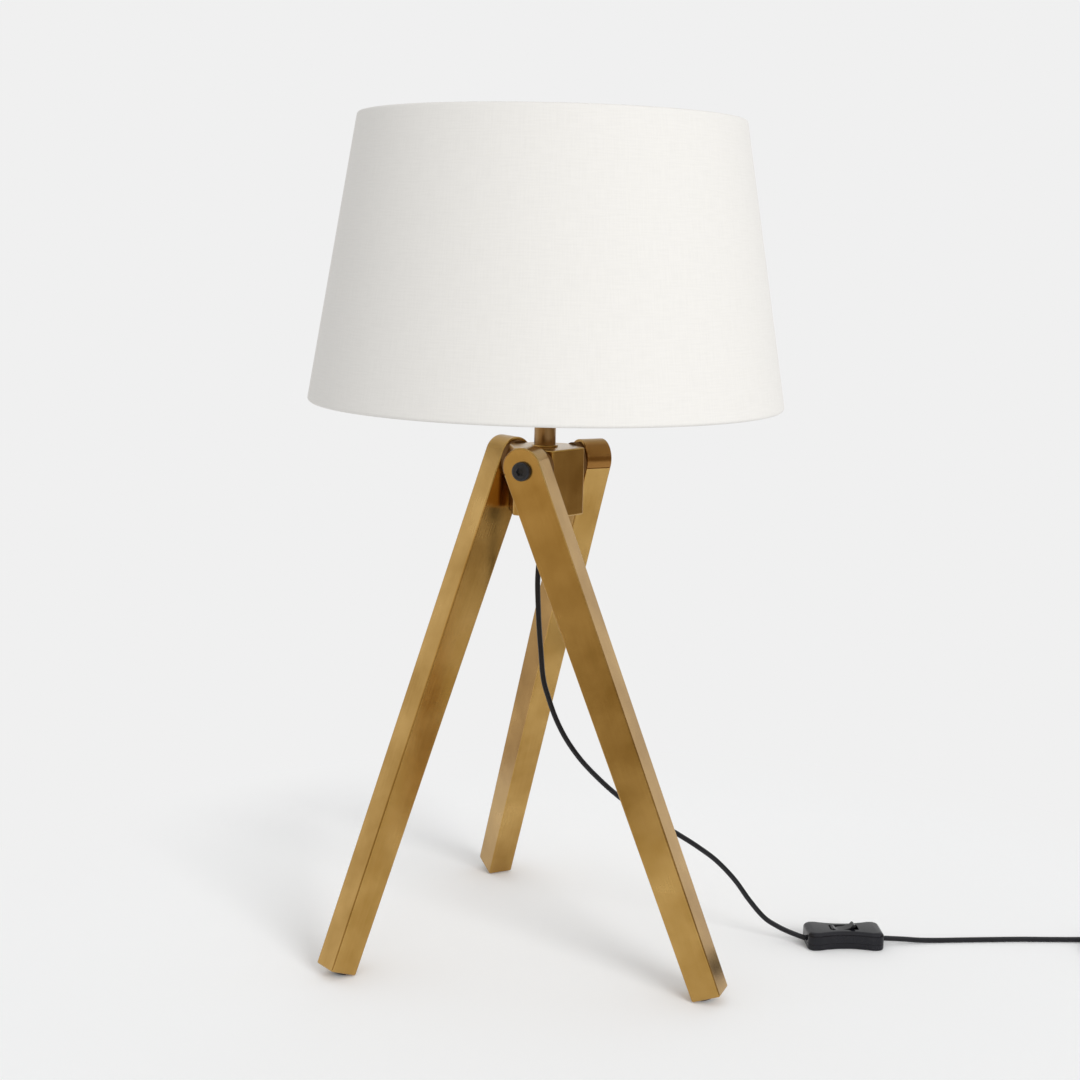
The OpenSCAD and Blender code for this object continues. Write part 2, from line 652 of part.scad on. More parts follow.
// Plan outline with rounded ends and a drawn-in waist
module switch_plan(inset) {
    r = 5 - inset / 2;
    x = switch_l / 2 - inset;
    y = switch_w / 2 - inset;
    difference() {
        union() {
            square([2 * x - 2 * r, 2 * y], center = true);
            square([2 * x, 2 * y - 2 * r], center = true);
            for (sx = [-1, 1], sy = [-1, 1]) translate([sx * (x - r), sy * (y - r)]) circle(r, $fn = 32);
        }
        for (s = [-1, 1]) translate([0, s * (switch_w / 2 - waist + waist_r)]) circle(waist_r + inset, $fn = 180);
    }
}
// A box whose upper edges along one direction are rounded
module crowned(l, w, h, r) {
    rotate([90, 0, 0]) linear_extrude(w, center = true) union() {
        translate([-l / 2, 0]) square([l, h - r]);
        translate([r - l / 2, 0]) square([l - 2 * r, h]);
        for (s = [-1, 1]) translate([s * (l / 2 - r), h - r]) circle(r, $fn = 32);
    }
}
screw_x = switch_l * 0.32;
pocket = [switch_l * 0.52, 15];
module switch_base() {
    color("#1B1C1F") at_switch() difference() {
        intersection() {
            linear_extrude(base_h) switch_plan(0);
            mirror([0, 0, 1]) translate([0, 0, -base_h]) crowned(switch_l, switch_w + 2, base_h, 1.5);
        }
        translate([-pocket.x / 2, -pocket.y / 2, switch_wall]) cube([pocket.x, pocket.y, base_h]);
        for (s = [-1, 1]) translate([s * screw_x, 0, 0]) {
            translate([0, 0, -1]) cylinder(r = 1.5 + seat_clear, h = base_h + 2, $fn = 32);
            translate([0, 0, -1]) cylinder(r = 2.8 + seat_clear, h = 3, $fn = 32);
        }
    }
}
module switch_screws() {
    color("#B9BBBE") at_switch() for (s = [-1, 1]) translate([s * screw_x, 0, 0.4]) difference() {
        union() {
            cylinder(d = 3, h = base_h + 4, $fn = 32);
            cylinder(d = 5.6, h = 1.6, $fn = 32);
        }
        translate([-1.6, -0.35, -1]) cube([3.2, 0.7, 1.8]);
        translate([-0.35, -1.6, -1]) cube([0.7, 3.2, 1.8]);
    }
}
rocker_gap = 0.3;
pivot_depth = 4;
pin_r = 1.2;
slot_l = rocker_l + 2.4;
slot_w = rocker_w + 2 * rocker_gap;
module switch_cover() {
    rib = 1.6;
    color("#1B1C1F") at_switch() difference() {
        translate([0, 0, base_h]) difference() {
            intersection() {
                linear_extrude(cover_h) switch_plan(0);
                crowned(switch_l, switch_w + 2, cover_h, 4);
                rotate([0, 0, 90]) crowned(switch_w, switch_l + 2, cover_h, 3);
            }
            difference() {
                translate([-pocket.x / 2, -pocket.y / 2, -1]) cube([pocket.x, pocket.y, cover_h - switch_wall + 1]);
                for (s = [-1, 1]) translate([-5, s * (slot_w / 2 + rib / 2) - rib / 2, 1]) cube([10, rib, cover_h]);
            }
            translate([-slot_l / 2, -slot_w / 2, 0.5]) cube([slot_l, slot_w, cover_h]);
        }
        translate([0, 0, switch_h - pivot_depth]) rotate([90, 0, 0])
            cylinder(r = pin_r + pivot_play, h = slot_w + 2 * rib - 0.4, center = true, $fn = 32);
        for (s = [-1, 1]) translate([s * screw_x, 0, base_h - 1]) cylinder(r = 1.5 + seat_clear, h = 5.6, $fn = 32);
    }
}
module switch_rocker() {
    tip = rocker_l / 2;
    rise = tip * tan(rocker_tilt);
    color("#141517") at_switch() translate([0, 0, switch_h - pivot_depth]) rotate([0, -rocker_tilt, 0]) {
        rotate([90, 0, 0]) linear_extrude(rocker_w, center = true) union() {
            polygon([[-3, 0], [-tip, pivot_depth + rise - 1.7], [-tip, pivot_depth + rise - 0.3],
                [0.3 - tip, pivot_depth + rise], [-1.5, pivot_depth + 0.3], [0, pivot_depth], [1.5, pivot_depth + 0.3],
                [tip - 0.3, pivot_depth + rise], [tip, pivot_depth + rise - 0.3], [tip, pivot_depth + rise - 1.7], [3, 0]]);
            circle(r = 3, $fn = 32);
        }
        rotate([90, 0, 0]) cylinder(r = pin_r, h = slot_w + 2, center = true, $fn = 32);
    }
}
module switch_contacts() {
    color("#C8A860") at_switch() for (s = [-1, 1]) translate([s * pocket.x * 0.3 - 3, -5, switch_wall]) {
        cube([6, 10, 0.8]);
        translate([s < 0 ? 0 : 5.2, 2, 0.4]) cube([0.8, 6, 2.2]);
    }
}

// ---------------------------------------------------------------- plug

// The plug lies flat beside the coil, pins towards the front. Its own frame: pins along +X
module at_plug() {
    translate([plug_at.x, plug_at.y, plug_z]) rotate([0, 0, -90]) children();
}
module plug_body() {
    grip = plug_w * 0.62;
    color("#1B1C1F") at_plug() {
        intersection() {
            linear_extrude(plug_t, center = true) polygon([[0, -grip / 2], [plug_l * 0.28, -grip / 2],
                [plug_l * 0.62, -plug_w / 2], [plug_l, -plug_w / 2], [plug_l, plug_w / 2],
                [plug_l * 0.62, plug_w / 2], [plug_l * 0.28, grip / 2], [0, grip / 2]]);
            rotate([90, 0, 90]) linear_extrude(plug_l) polygon([[-plug_w / 2, -plug_t / 4], [-plug_w / 2 + 5, -plug_t / 2],
                [plug_w / 2 - 5, -plug_t / 2], [plug_w / 2, -plug_t / 4], [plug_w / 2, plug_t / 4],
                [plug_w / 2 - 5, plug_t / 2], [5 - plug_w / 2, plug_t / 2], [-plug_w / 2, plug_t / 4]]);
        }
        translate([-relief_l, 0, 0]) along_x() cylinder(r1 = cord_r + 0.8, r2 = 4.6, h = relief_l + 0.5, $fn = 32);
    }
}
module plug_pins() {
    tip = 1;
    color("#C9CBCE") at_plug() for (s = [-1, 1]) translate([plug_l, s * pin_gap / 2, 0]) along_x() {
        cylinder(d = pin_d - 0.8, h = pin_l * 0.55);
        translate([0, 0, pin_l * 0.55]) cylinder(d = pin_d, h = pin_l * 0.45 - tip);
        translate([0, 0, pin_l - tip]) cylinder(d1 = pin_d, d2 = pin_d - 1.4, h = tip);
    }
}
module plug_sleeves() {
    color("#1B1C1F") at_plug() for (s = [-1, 1]) translate([plug_l, s * pin_gap / 2, 0]) along_x() difference() {
        cylinder(d = pin_d, h = pin_l * 0.55);
        translate([0, 0, -1]) cylinder(r = pin_d / 2 - 0.4 + 0.02, h = pin_l);
    }
}

hub_block();
threaded_pipe();
pipe_nut();
cord_gland();
pipe_flex();
stem_collar();
stem_tube();
pivot_bolts();
friction_washers();
leg_front();
leg_rear();
leg_left();
foot_pad_front();
foot_pad_rear();
foot_pad_left();
holder_cap();
holder_sleeve();
holder_core();
screw_shell();
centre_contact();
terminal_screws();
shade_ring();
shade_carrier();
shade_top_wire();
shade_lining();
shade_fabric();
cord_lead();
switch_base();
switch_cover();
switch_rocker();
switch_contacts();
switch_screws();
cord_tail();
cord_coil();
coil_tie();
cord_end();
plug_body();
plug_pins();
plug_sleeves();
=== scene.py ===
"""Tripod table lamp: brass legs on a hexagonal hub, a conical white shade, a black flex and a switch."""

from math import asin, atan2, cos, degrees, hypot, pi, radians, sin, sqrt, tan

import bmesh
import bpy
from mathutils import Matrix, Vector


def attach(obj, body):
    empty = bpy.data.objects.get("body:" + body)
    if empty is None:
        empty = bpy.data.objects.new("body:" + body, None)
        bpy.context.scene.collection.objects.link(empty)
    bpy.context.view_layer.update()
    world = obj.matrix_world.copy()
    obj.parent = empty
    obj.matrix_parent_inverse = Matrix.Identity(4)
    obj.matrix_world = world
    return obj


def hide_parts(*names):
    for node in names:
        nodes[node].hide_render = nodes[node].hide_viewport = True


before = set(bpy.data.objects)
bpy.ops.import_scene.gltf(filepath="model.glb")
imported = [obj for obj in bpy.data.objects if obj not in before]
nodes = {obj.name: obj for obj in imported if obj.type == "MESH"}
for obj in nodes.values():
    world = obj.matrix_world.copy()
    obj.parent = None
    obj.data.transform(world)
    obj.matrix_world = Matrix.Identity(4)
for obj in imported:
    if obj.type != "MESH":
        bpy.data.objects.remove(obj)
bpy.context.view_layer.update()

MM = 0.001

# ---- sizes that part.scad names, in millimetres and degrees
# Legs, from the pivot down, and the pads under them
LEG_L, LEG_SPREAD, LEG_T, LEG_BEVEL = 403, 22.2, 21, 1.2
LEG_W, FOOT_W, HEAD_RISE = 29, 22.6, 2.5
PAD_T, PAD_EDGE, PAD_FLAT = 1.8, 2.5, 0.4
# Where the legs' bolts point, how far they lie beside the middle of the hub's face, and below its top
BOLT_DIRS = {"front": -112, "rear": 27, "left": 129.5}
PIVOT_SHIFT, PIVOT_DROP = 3.4, 13
# Hub, the recess below it and the pipe through it
HUB_APOTHEM, HUB_H, HUB_BEVEL, HUB_CORNER = 24.8, 50, 1.2, 1.8
RECESS_D, RECESS_H, NUT_T, PIPE_D = 30, 12, 4, 10
# Bolts and washers
BOLT_D, HEAD_D, HEAD_H, SOCKET_AF, BOLT_GRIP = 8, 14, 4.4, 5, 14
WASHER_D, WASHER_T = 29, 5
# Stem and lamp holder
STEM_D, STEM_L, COLLAR_D, COLLAR_T = 16, 49, 19.5, 1.2
CAP_H, SLEEVE_H, SLEEVE_D, HOLDER_WALL = 21, 26, 40, 2.4
FLANGE_D, FLANGE_T = 47, 3
RING_D, RING_H, PLATE_T = 54, 8, 1.2
# Shade
SHADE_BOTTOM_D, SHADE_TOP_D, SHADE_H = 350, 279, 205
FABRIC_T, LINING_T, WIRE_D, HEM = 0.8, 0.7, 3, 9
CARRIER_RISE = 42
# Flex, its gland and the coil that it is put away in
CORD_D, GLAND_L = 4, 26
COIL_AT, COIL_R, LAYER_TURNS = (475, -5), 17.4, 3.5
TURN_STEP, LAYER_STEP, TIE_T = 4.7, 4.7, 0.8
# Hand switch
SWITCH_AT, SWITCH_TURN = (244, 11.6), 3
SWITCH_L, SWITCH_W, BASE_H, COVER_H, WAIST = 60, 28, 5, 9, 3.6
ROCKER_L, ROCKER_W, ROCKER_TILT, PIVOT_DEPTH = 19, 8, 10, 4
# Plug
PLUG_L, PLUG_W, PLUG_T, RELIEF_L = 35, 26, 13.7, 24
# Gap between faces that seat on each other
SEAT_CLEAR = 0.05

# Heights over the floor, from the pivots up to the shade
pivot_z = ((LEG_L + PAD_T) * cos(radians(LEG_SPREAD)) + (FOOT_W / 2 - PAD_EDGE) * sin(radians(LEG_SPREAD))
           - PAD_FLAT)
hub_top = pivot_z + PIVOT_DROP
hub_bottom = hub_top - HUB_H
gland_z = hub_bottom + RECESS_H - NUT_T
gland_end = gland_z - GLAND_L
stem_z = hub_top + COLLAR_T
cap_z = stem_z + STEM_L
flange_z = cap_z + CAP_H
seat_z = flange_z + FLANGE_T
shade_z = seat_z - CARRIER_RISE
# A leg's inner and outer face, from the stem's axis
leg_in = HUB_APOTHEM + WASHER_T
leg_out = leg_in + LEG_T


def linked(name, data):
    """A new object in the scene."""
    made = bpy.data.objects.new(name, data)
    bpy.context.collection.objects.link(made)
    return made


# ---- camera, at the photograph's viewing angle
FOCAL, PIXELS, SENSOR = 1700, 1080, 36.0
CAM_AT = Vector((0, -1.2548, 0.5401))
CAM_PITCH, CAM_TURN, CAM_ROLL = radians(9.96), radians(-0.09), radians(1.33)

ahead = Vector((sin(CAM_TURN) * cos(CAM_PITCH), cos(CAM_TURN) * cos(CAM_PITCH), -sin(CAM_PITCH)))
right = Vector((cos(CAM_TURN), -sin(CAM_TURN), 0))
up = right.cross(ahead)
cam_x = cos(CAM_ROLL) * right + sin(CAM_ROLL) * up
cam_y = cos(CAM_ROLL) * up - sin(CAM_ROLL) * right
camera = linked("camera", bpy.data.cameras.new("camera"))
camera.matrix_world = Matrix.Translation(CAM_AT) @ Matrix((cam_x, cam_y, -ahead)).transposed().to_4x4()
camera.data.sensor_width = SENSOR
camera.data.lens = FOCAL * SENSOR / PIXELS
camera.data.clip_end = 200
bpy.context.scene.camera = camera


# ---- materials
def srgb(text):
    """A linear colour from an sRGB hex string."""
    parts = [c / 255 for c in bytes.fromhex(text)]
    return tuple(c / 12.92 if c <= 0.04045 else ((c + 0.055) / 1.055) ** 2.4 for c in parts) + (1.0,)


def add(tree, kind, wires=None, values=None, **settings):
    """Adds a shader node with its settings, input values and links."""
    node = tree.nodes.new(kind)
    for key, value in settings.items():
        setattr(node, key, value)
    for key, value in (values or {}).items():
        node.inputs[key].default_value = value
    for key, socket in (wires or {}).items():
        tree.links.new(socket, node.inputs[key])
    return node


def new_material(name, values):
    """A material, its node tree and its shader with some values set."""
    material = bpy.data.materials.new(name)
    material.use_nodes = True
    tree = material.node_tree
    bsdf = tree.nodes["Principled BSDF"]
    for key, value in values.items():
        bsdf.inputs[key].default_value = value
    return material, tree, bsdf


# What a noise's values mostly lie between, the grain's share in a finish's tone, and a lacquer's roughness
NOISE_SPAN = (0.3, 0.7)
GRAIN_SHARE = 0.16
LACQUER_ROUGH = 0.2


def ramp(tree, source, low, high, span=NOISE_SPAN):
    """A colour ramp between two hex colours, driven by a noise value."""
    node = add(tree, "ShaderNodeValToRGB", {"Fac": source})
    for stop, at, colour in zip(node.color_ramp.elements, span, (low, high)):
        stop.position, stop.color = at, srgb(colour)
    return node.outputs["Color"]


def finish_of(name, low, high, rough, metallic=0.0, coords="Object", stretch=(1, 1, 1), cloud=30, grain=900,
              grain_depth=0.00002, specular_level=0.5, coat=0.0):
    """A finish with clouds of two tones, a matching change of roughness and a fine grain along one way."""
    material, tree, bsdf = new_material(name, {
        "Metallic": metallic, "Specular IOR Level": specular_level, "Coat Weight": coat,
        "Coat Roughness": LACQUER_ROUGH})
    if coords == "Object":
        place = add(tree, "ShaderNodeTexCoord").outputs["Object"]
    else:
        place = add(tree, "ShaderNodeAttribute", attribute_name=coords).outputs["Vector"]
    soft = add(tree, "ShaderNodeTexNoise", {"Vector": place},
               {"Scale": cloud, "Detail": 3, "Roughness": 0.55}).outputs["Fac"]
    drawn = add(tree, "ShaderNodeMapping", {"Vector": place}, {"Scale": stretch}).outputs["Vector"]
    fine = add(tree, "ShaderNodeTexNoise", {"Vector": drawn}, {"Scale": grain, "Detail": 2}).outputs["Fac"]
    both = add(tree, "ShaderNodeMix", {"A": soft, "B": fine}, {"Factor": GRAIN_SHARE}).outputs["Result"]
    tone = ramp(tree, both, low, high)
    level = add(tree, "ShaderNodeMapRange", {"Value": both},
                {"From Min": NOISE_SPAN[0], "From Max": NOISE_SPAN[1],
                 "To Min": rough[0], "To Max": rough[1]})
    bump = add(tree, "ShaderNodeBump", {"Height": fine}, {"Strength": 0.6, "Distance": grain_depth})
    tree.links.new(tone, bsdf.inputs["Base Color"])
    tree.links.new(level.outputs["Result"], bsdf.inputs["Roughness"])
    tree.links.new(bump.outputs["Normal"], bsdf.inputs["Normal"])
    return material


def darkened_by(material, attribute, tint):
    """Multiplies a finish by a tint where a mesh attribute says so."""
    tree = material.node_tree
    bsdf = tree.nodes["Principled BSDF"]
    shade_mask = add(tree, "ShaderNodeAttribute", attribute_name=attribute).outputs["Fac"]
    plain = bsdf.inputs["Base Color"].links[0].from_socket
    painted_dark = add(tree, "ShaderNodeMix", {"Factor": shade_mask, 6: plain}, {7: srgb(tint)}, data_type="RGBA",
                  blend_type="MULTIPLY")
    tree.links.new(painted_dark.outputs[2], bsdf.inputs["Base Color"])


# Antiqued and brushed brass: legs, hub and collar, with painted shade on the underside of a leg's head. Its
# lacquer gives the faces that are seen at a low angle a pale sheen
ANTIQUE_BRASS = finish_of("antique_brass_brushed", "A27A33", "CCA560", (0.17, 0.3), 1.0, "local",
                          stretch=(1, 1, 0.012), cloud=20, grain=1500, grain_depth=0.000014, coat=0.35)
darkened_by(ANTIQUE_BRASS, "painted_shade", "CDB69A")
# The same brass painted darker for the stem, as painted shade under the lampshade
SHADED_BRASS = finish_of("antique_brass_shaded", "84633A", "A5814F", (0.26, 0.36), 1.0, "local",
                       stretch=(0.02, 0.02, 1), cloud=14, grain=1500, coat=0.4)
# Plain turned brass: the pipe, the screw shell and the contacts
BRIGHT_BRASS = finish_of("turned_brass", "B58D45", "D6B36C", (0.2, 0.32), 1.0, stretch=(0.05, 0.05, 1))
# Nickel-plated steel: pins, screws and the pipe's nut
PLATED_STEEL = finish_of("nickel_plated_steel", "A9AAAD", "C9CACC", (0.2, 0.35), 1.0, grain=600)
# Black oxide on steel: the three pivot bolts
BLACK_STEEL = finish_of("black_oxide_steel", "1C1C20", "2E2E34", (0.3, 0.42), 0.35, "local", cloud=80)
# Brown fibre: the friction washers
WASHER_FIBRE = finish_of("brown_black_fibre", "5A3E22", "75532F", (0.6, 0.7), cloud=60, coords="local",
                         specular_level=0.05)
# Black nylon: the flex's gland and the tie
BLACK_NYLON = finish_of("black_nylon", "101013", "1D1D21", (0.45, 0.6), cloud=60)
# Dark brown rubber foot pads
PAD_RUBBER = finish_of("brown_rubber", "241D19", "352B25", (0.7, 0.85), cloud=80)
# Moulded thermoplastic: the lamp holder's cap, sleeve and shade ring
HOLDER_PLASTIC = finish_of("black_holder_plastic", "17181A", "222326", (0.32, 0.44), cloud=70)
# White glazed porcelain: the holder's core
PORCELAIN = finish_of("glazed_porcelain", "E6E2D8", "F4F1EA", (0.12, 0.2), cloud=90, grain=200)
# Powder coat on wire: the shade's carrier and top ring
WHITE_WIRE = finish_of("white_powder_coat", "E4E3DE", "F1F0EC", (0.35, 0.5), cloud=120, grain=2500)
# Stiff white styrene film that the shade's cloth is laminated to
LINING_FILM = finish_of("white_styrene_film", "EDECE6", "F7F6F1", (0.35, 0.45), cloud=15, grain=400,
                        grain_depth=0.00001)
# Soft PVC round the flex
FLEX_PVC = finish_of("black_pvc_flex", "0E0E12", "18181D", (0.3, 0.42), cloud=60, grain=500,
                     specular_level=0.35)
# Moulded switch and plug shells
SWITCH_PLASTIC = finish_of("black_switch_plastic", "0F0F14", "17171D", (0.14, 0.24), cloud=50, grain=2200,
                           grain_depth=0.00001, specular_level=0.3)
# The rocker is polished
ROCKER_PLASTIC = finish_of("gloss_rocker_plastic", "0A0A0E", "121217", (0.08, 0.14), cloud=50,
                           specular_level=0.35)


def shade_cloth():
    """White cotton blend, plain woven: threads both ways by waves in the cloth's own map, with slubs."""
    material, tree, bsdf = new_material("white_woven_cotton", {
        "Roughness": 0.85, "Sheen Weight": 0.15, "Specular IOR Level": 0.25})
    place = add(tree, "ShaderNodeAttribute", attribute_name="cloth").outputs["Vector"]
    threads, slubs = [], []
    for way, stretch in (("X", (60, 900, 1)), ("Y", (900, 60, 1))):
        wave = add(tree, "ShaderNodeTexWave", {"Vector": place}, {"Scale": 640, "Distortion": 0.6},
                   bands_direction=way)
        drawn = add(tree, "ShaderNodeMapping", {"Vector": place}, {"Scale": stretch}).outputs["Vector"]
        yarn = add(tree, "ShaderNodeTexNoise", {"Vector": drawn}, {"Scale": 1.0, "Detail": 2})
        threads.append(wave.outputs["Fac"])
        slubs.append(yarn.outputs["Fac"])
    weave = add(tree, "ShaderNodeMath", {0: threads[0], 1: threads[1]}, operation="ADD").outputs[0]
    uneven = add(tree, "ShaderNodeMath", {0: slubs[0], 1: slubs[1]}, operation="ADD").outputs[0]
    height = add(tree, "ShaderNodeMath", {0: uneven, 1: weave}, operation="MULTIPLY").outputs[0]
    half = add(tree, "ShaderNodeMath", {0: uneven}, {1: 0.5}, operation="MULTIPLY").outputs[0]
    tone = ramp(tree, half, "DBD9D5", "DFDDD9", (0.35, 0.6))
    bump = add(tree, "ShaderNodeBump", {"Height": height}, {"Strength": 0.2, "Distance": 0.00005})
    tree.links.new(tone, bsdf.inputs["Base Color"])
    tree.links.new(bump.outputs["Normal"], bsdf.inputs["Normal"])
    return material


SHADE_CLOTH = shade_cloth()


# ---- meshes
def smooth_mesh(name, verts, faces, local, angle=32, painted_shade=None):
    """A mesh from points in millimetres, shaded smooth below an angle in degrees. Its finish is laid out by
    the local coordinates, and painted_shade says how far painted shade darkens each point."""
    mesh = bpy.data.meshes.new(name)
    mesh.from_pydata([Vector(v) * MM for v in verts], [], faces)
    attribute = mesh.attributes.new("local", "FLOAT_VECTOR", "POINT")
    for i, v in enumerate(local):
        attribute.data[i].vector = Vector(v) * MM
    if painted_shade:
        mesh.attributes.new("painted_shade", "FLOAT", "POINT").data.foreach_set("value", painted_shade)
    work = bmesh.new()
    work.from_mesh(mesh)
    bmesh.ops.remove_doubles(work, verts=work.verts, dist=1e-7)
    bmesh.ops.recalc_face_normals(work, faces=work.faces)
    work.to_mesh(mesh)
    work.free()
    mesh.polygons.foreach_set("use_smooth", [True] * len(mesh.polygons))
    mesh.set_sharp_from_angle(angle=radians(angle))
    return mesh


def make_piece(name, verts, faces, material, body, replaced, local=None, painted_shade=None, angle=32,
               weighted=True):
    """A mesh piece that rides on a CAD body in place of some of its nodes."""
    piece = linked(name, smooth_mesh(name, verts, faces, local or verts, angle, painted_shade))
    piece.data.materials.append(material)
    if weighted:
        modifier = piece.modifiers.new("weighted", "WEIGHTED_NORMAL")
        modifier.keep_sharp = True
    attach(piece, body)
    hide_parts(*replaced)
    return piece


def bake(piece):
    """Gives a piece the mesh that its modifiers make, and takes them off."""
    before = piece.data
    shaped = piece.evaluated_get(bpy.context.evaluated_depsgraph_get())
    piece.data = bpy.data.meshes.new_from_object(shaped)
    piece.modifiers.clear()
    bpy.data.meshes.remove(before)


def carve(piece, verts, faces, first=False):
    """Takes a solid out of a piece, before its other modifiers if first."""
    tool = linked("tool", bpy.data.meshes.new("tool"))
    tool.data.from_pydata([v * MM for v in verts], [], faces)
    modifier = piece.modifiers.new("carved", "BOOLEAN")
    modifier.object, modifier.operation, modifier.solver = tool, "DIFFERENCE", "EXACT"
    if first:
        piece.modifiers.move(len(piece.modifiers) - 1, 0)
    bake(piece)
    bpy.data.objects.remove(tool)


def skin(rings, closed_ends=True, looped=False):
    """Points and faces through rings of equally many points."""
    n = len(rings[0])
    verts = [p for r in rings for p in r]
    faces = []
    for i in range(len(rings) if looped else len(rings) - 1):
        a, b = i * n, (i + 1) % len(rings) * n
        faces += [(a + k, a + (k + 1) % n, b + (k + 1) % n, b + k) for k in range(n)]
    if closed_ends and not looped:
        faces += [tuple(range(n)), tuple((len(rings) - 1) * n + k for k in reversed(range(n)))]
    return verts, faces


def rounded_levels(low, high, r_low, r_high, steps=4):
    """(height, inset) of a prism whose lower and upper rims are rounded over."""
    levels = []
    for base, r, sign in ((low, r_low, 1), (high, r_high, -1)):
        part = []
        for i in range(steps + 1):
            a = pi / 2 * i / steps
            part.append((base + sign * r * (1 - cos(a)), r * (1 - sin(a))))
        levels += part if sign > 0 else part[::-1]
    return levels


def prism(outline, levels, place):
    """Rings of an outline drawn in by each level's inset, put in place by a matrix. Also each ring's own
    coordinates, with the outline's second axis last."""
    rings, local = [], []
    for height, inset in levels:
        flat = outline(inset)
        rings.append([place @ Vector((x, y, height)) for x, y in flat])
        local += [(x, height, y) for x, y in flat]
    verts, faces = skin(rings)
    return verts, faces, local


def lathe(profile, n=96, centre=(0, 0, 0), axis=None, looped=True, shape=None):
    """A profile of (radius, height) turned round an axis. shape may change a ring's radius by angle."""
    turn = axis or Matrix.Identity(3)
    rings = []
    for i, (r, z) in enumerate(profile):
        ring = []
        for k in range(n):
            a = 2 * pi * k / n
            radius = shape(i, r, a) if shape else r
            ring.append(Vector(centre) + turn @ Vector((radius * cos(a), radius * sin(a), z)))
        rings.append(ring)
    return skin(rings, closed_ends=not looped, looped=looped)


def arc(cx, cy, r, a0, a1, steps):
    """Points of an arc, angles in degrees."""
    turns = [radians(a0 + (a1 - a0) * i / steps) for i in range(steps + 1)]
    return [(cx + r * cos(a), cy + r * sin(a)) for a in turns]


def soft_corners(x, y, r, steps):
    """The four corner arcs of a rectangle of half sizes x and y, each with the signs of its quarter."""
    return [(sx, sy, arc(sx * (x - r), sy * (y - r), r, 90 * quarter, 90 * quarter + 90, steps))
            for quarter, (sx, sy) in enumerate(((1, 1), (-1, 1), (-1, -1), (1, -1)))]


def rounded(profile, r, steps=3):
    """A closed profile with each of its corners rounded by up to r."""
    out, m = [], len(profile)
    for i in range(m):
        a, b, c = (Vector(profile[(i + k - 1) % m]) for k in range(3))
        before, after = (a - b), (c - b)
        cut = min(r, before.length * 0.45, after.length * 0.45)
        if before.length < 1e-6 or after.length < 1e-6 or b.x < 1e-6:
            out.append(tuple(b))
            continue
        start, end = b + before.normalized() * cut, b + after.normalized() * cut
        for s in range(steps + 1):
            t = s / steps
            out.append(tuple((1 - t) ** 2 * start + 2 * t * (1 - t) * b + t * t * end))
    return out


# ---- cords
def curve_through(points, steps):
    """The same smooth curve as part.scad's, a Catmull-Rom spline through every point."""
    p = [Vector(q) for q in points]
    m = len(p) - 1
    out = []
    for i in range(m):
        p0 = p[i - 1] if i else 2 * p[0] - p[1]
        p3 = p[i + 2] if i < m - 1 else 2 * p[m] - p[m - 1]
        p1, p2 = p[i], p[i + 1]
        for s in range(steps):
            t = s / steps
            out.append(0.5 * (2 * p1 + (p2 - p0) * t + (2 * p0 - 5 * p1 + 4 * p2 - p3) * t * t
                              + (3 * p1 - p0 - 3 * p2 + p3) * t ** 3))
    return out + [p[m]]


# The route of the flex as the photo shows it, in millimetres: from the gland to the switch, and on
LEAD_POINTS = [(0, 0, gland_end), (-0.6, 0, gland_end - 7), (-2.4, 0, 302), (-3, 0, 288), (-2.4, 0, 273),
               (-1.2, 0, 254), (0.6, 0, 235), (3, 0, 213), (7.6, 0, 197), (13.6, 0, 181), (22, 0, 165),
               (33.4, 1, 149), (47, 2, 134.5), (62, 3.5, 120.8), (80, 5.5, 107.2), (96, 7.5, 97.4),
               (111, 9.5, 88), (126.5, 12, 77.6), (142, 14.5, 65.5), (157, 16.5, 49.6), (169.5, 17, 32.6),
               (181.5, 16.2, 19), (191.8, 14.8, 12.6), (201.6, 12.8, 8.6)]
TAIL_POINTS = [(292, 15, 4), (306, 17, 2.6), (322, 19, 2), (342, 21, 2), (364, 23, 2), (388, 25, 2),
               (412, 26, 2), (436, 27, 2.2), (456, 28, 3)]
switch_x = Vector((cos(radians(SWITCH_TURN)), sin(radians(SWITCH_TURN)), 0))
switch_mid = Vector((SWITCH_AT[0], SWITCH_AT[1], BASE_H))
lead_end = switch_mid - switch_x * SWITCH_L / 2
tail_start = switch_mid + switch_x * SWITCH_L / 2
coil_outer = COIL_R + LAYER_TURNS * TURN_STEP
coil_z = CORD_D / 2 + TIE_T + SEAT_CLEAR
RINGS_A_TURN = 36
CLIMB_TURNS = 0.5


def coil_points():
    """Two layers of turns: in on the lower one, a climb at the reversal, out on the upper one."""
    count = round(2 * LAYER_TURNS * RINGS_A_TURN)
    points = []
    for i in range(count + 1):
        t = i / RINGS_A_TURN
        climb = min(max((t - LAYER_TURNS + CLIMB_TURNS / 2) / CLIMB_TURNS, 0), 1)
        a = radians(90) - 2 * pi * t
        r = COIL_R + TURN_STEP * abs(LAYER_TURNS - t)
        points.append(Vector((COIL_AT[0] + r * cos(a), COIL_AT[1] + r * sin(a),
                              coil_z + LAYER_STEP * climb * climb * (3 - 2 * climb))))
    return points


coil = coil_points()
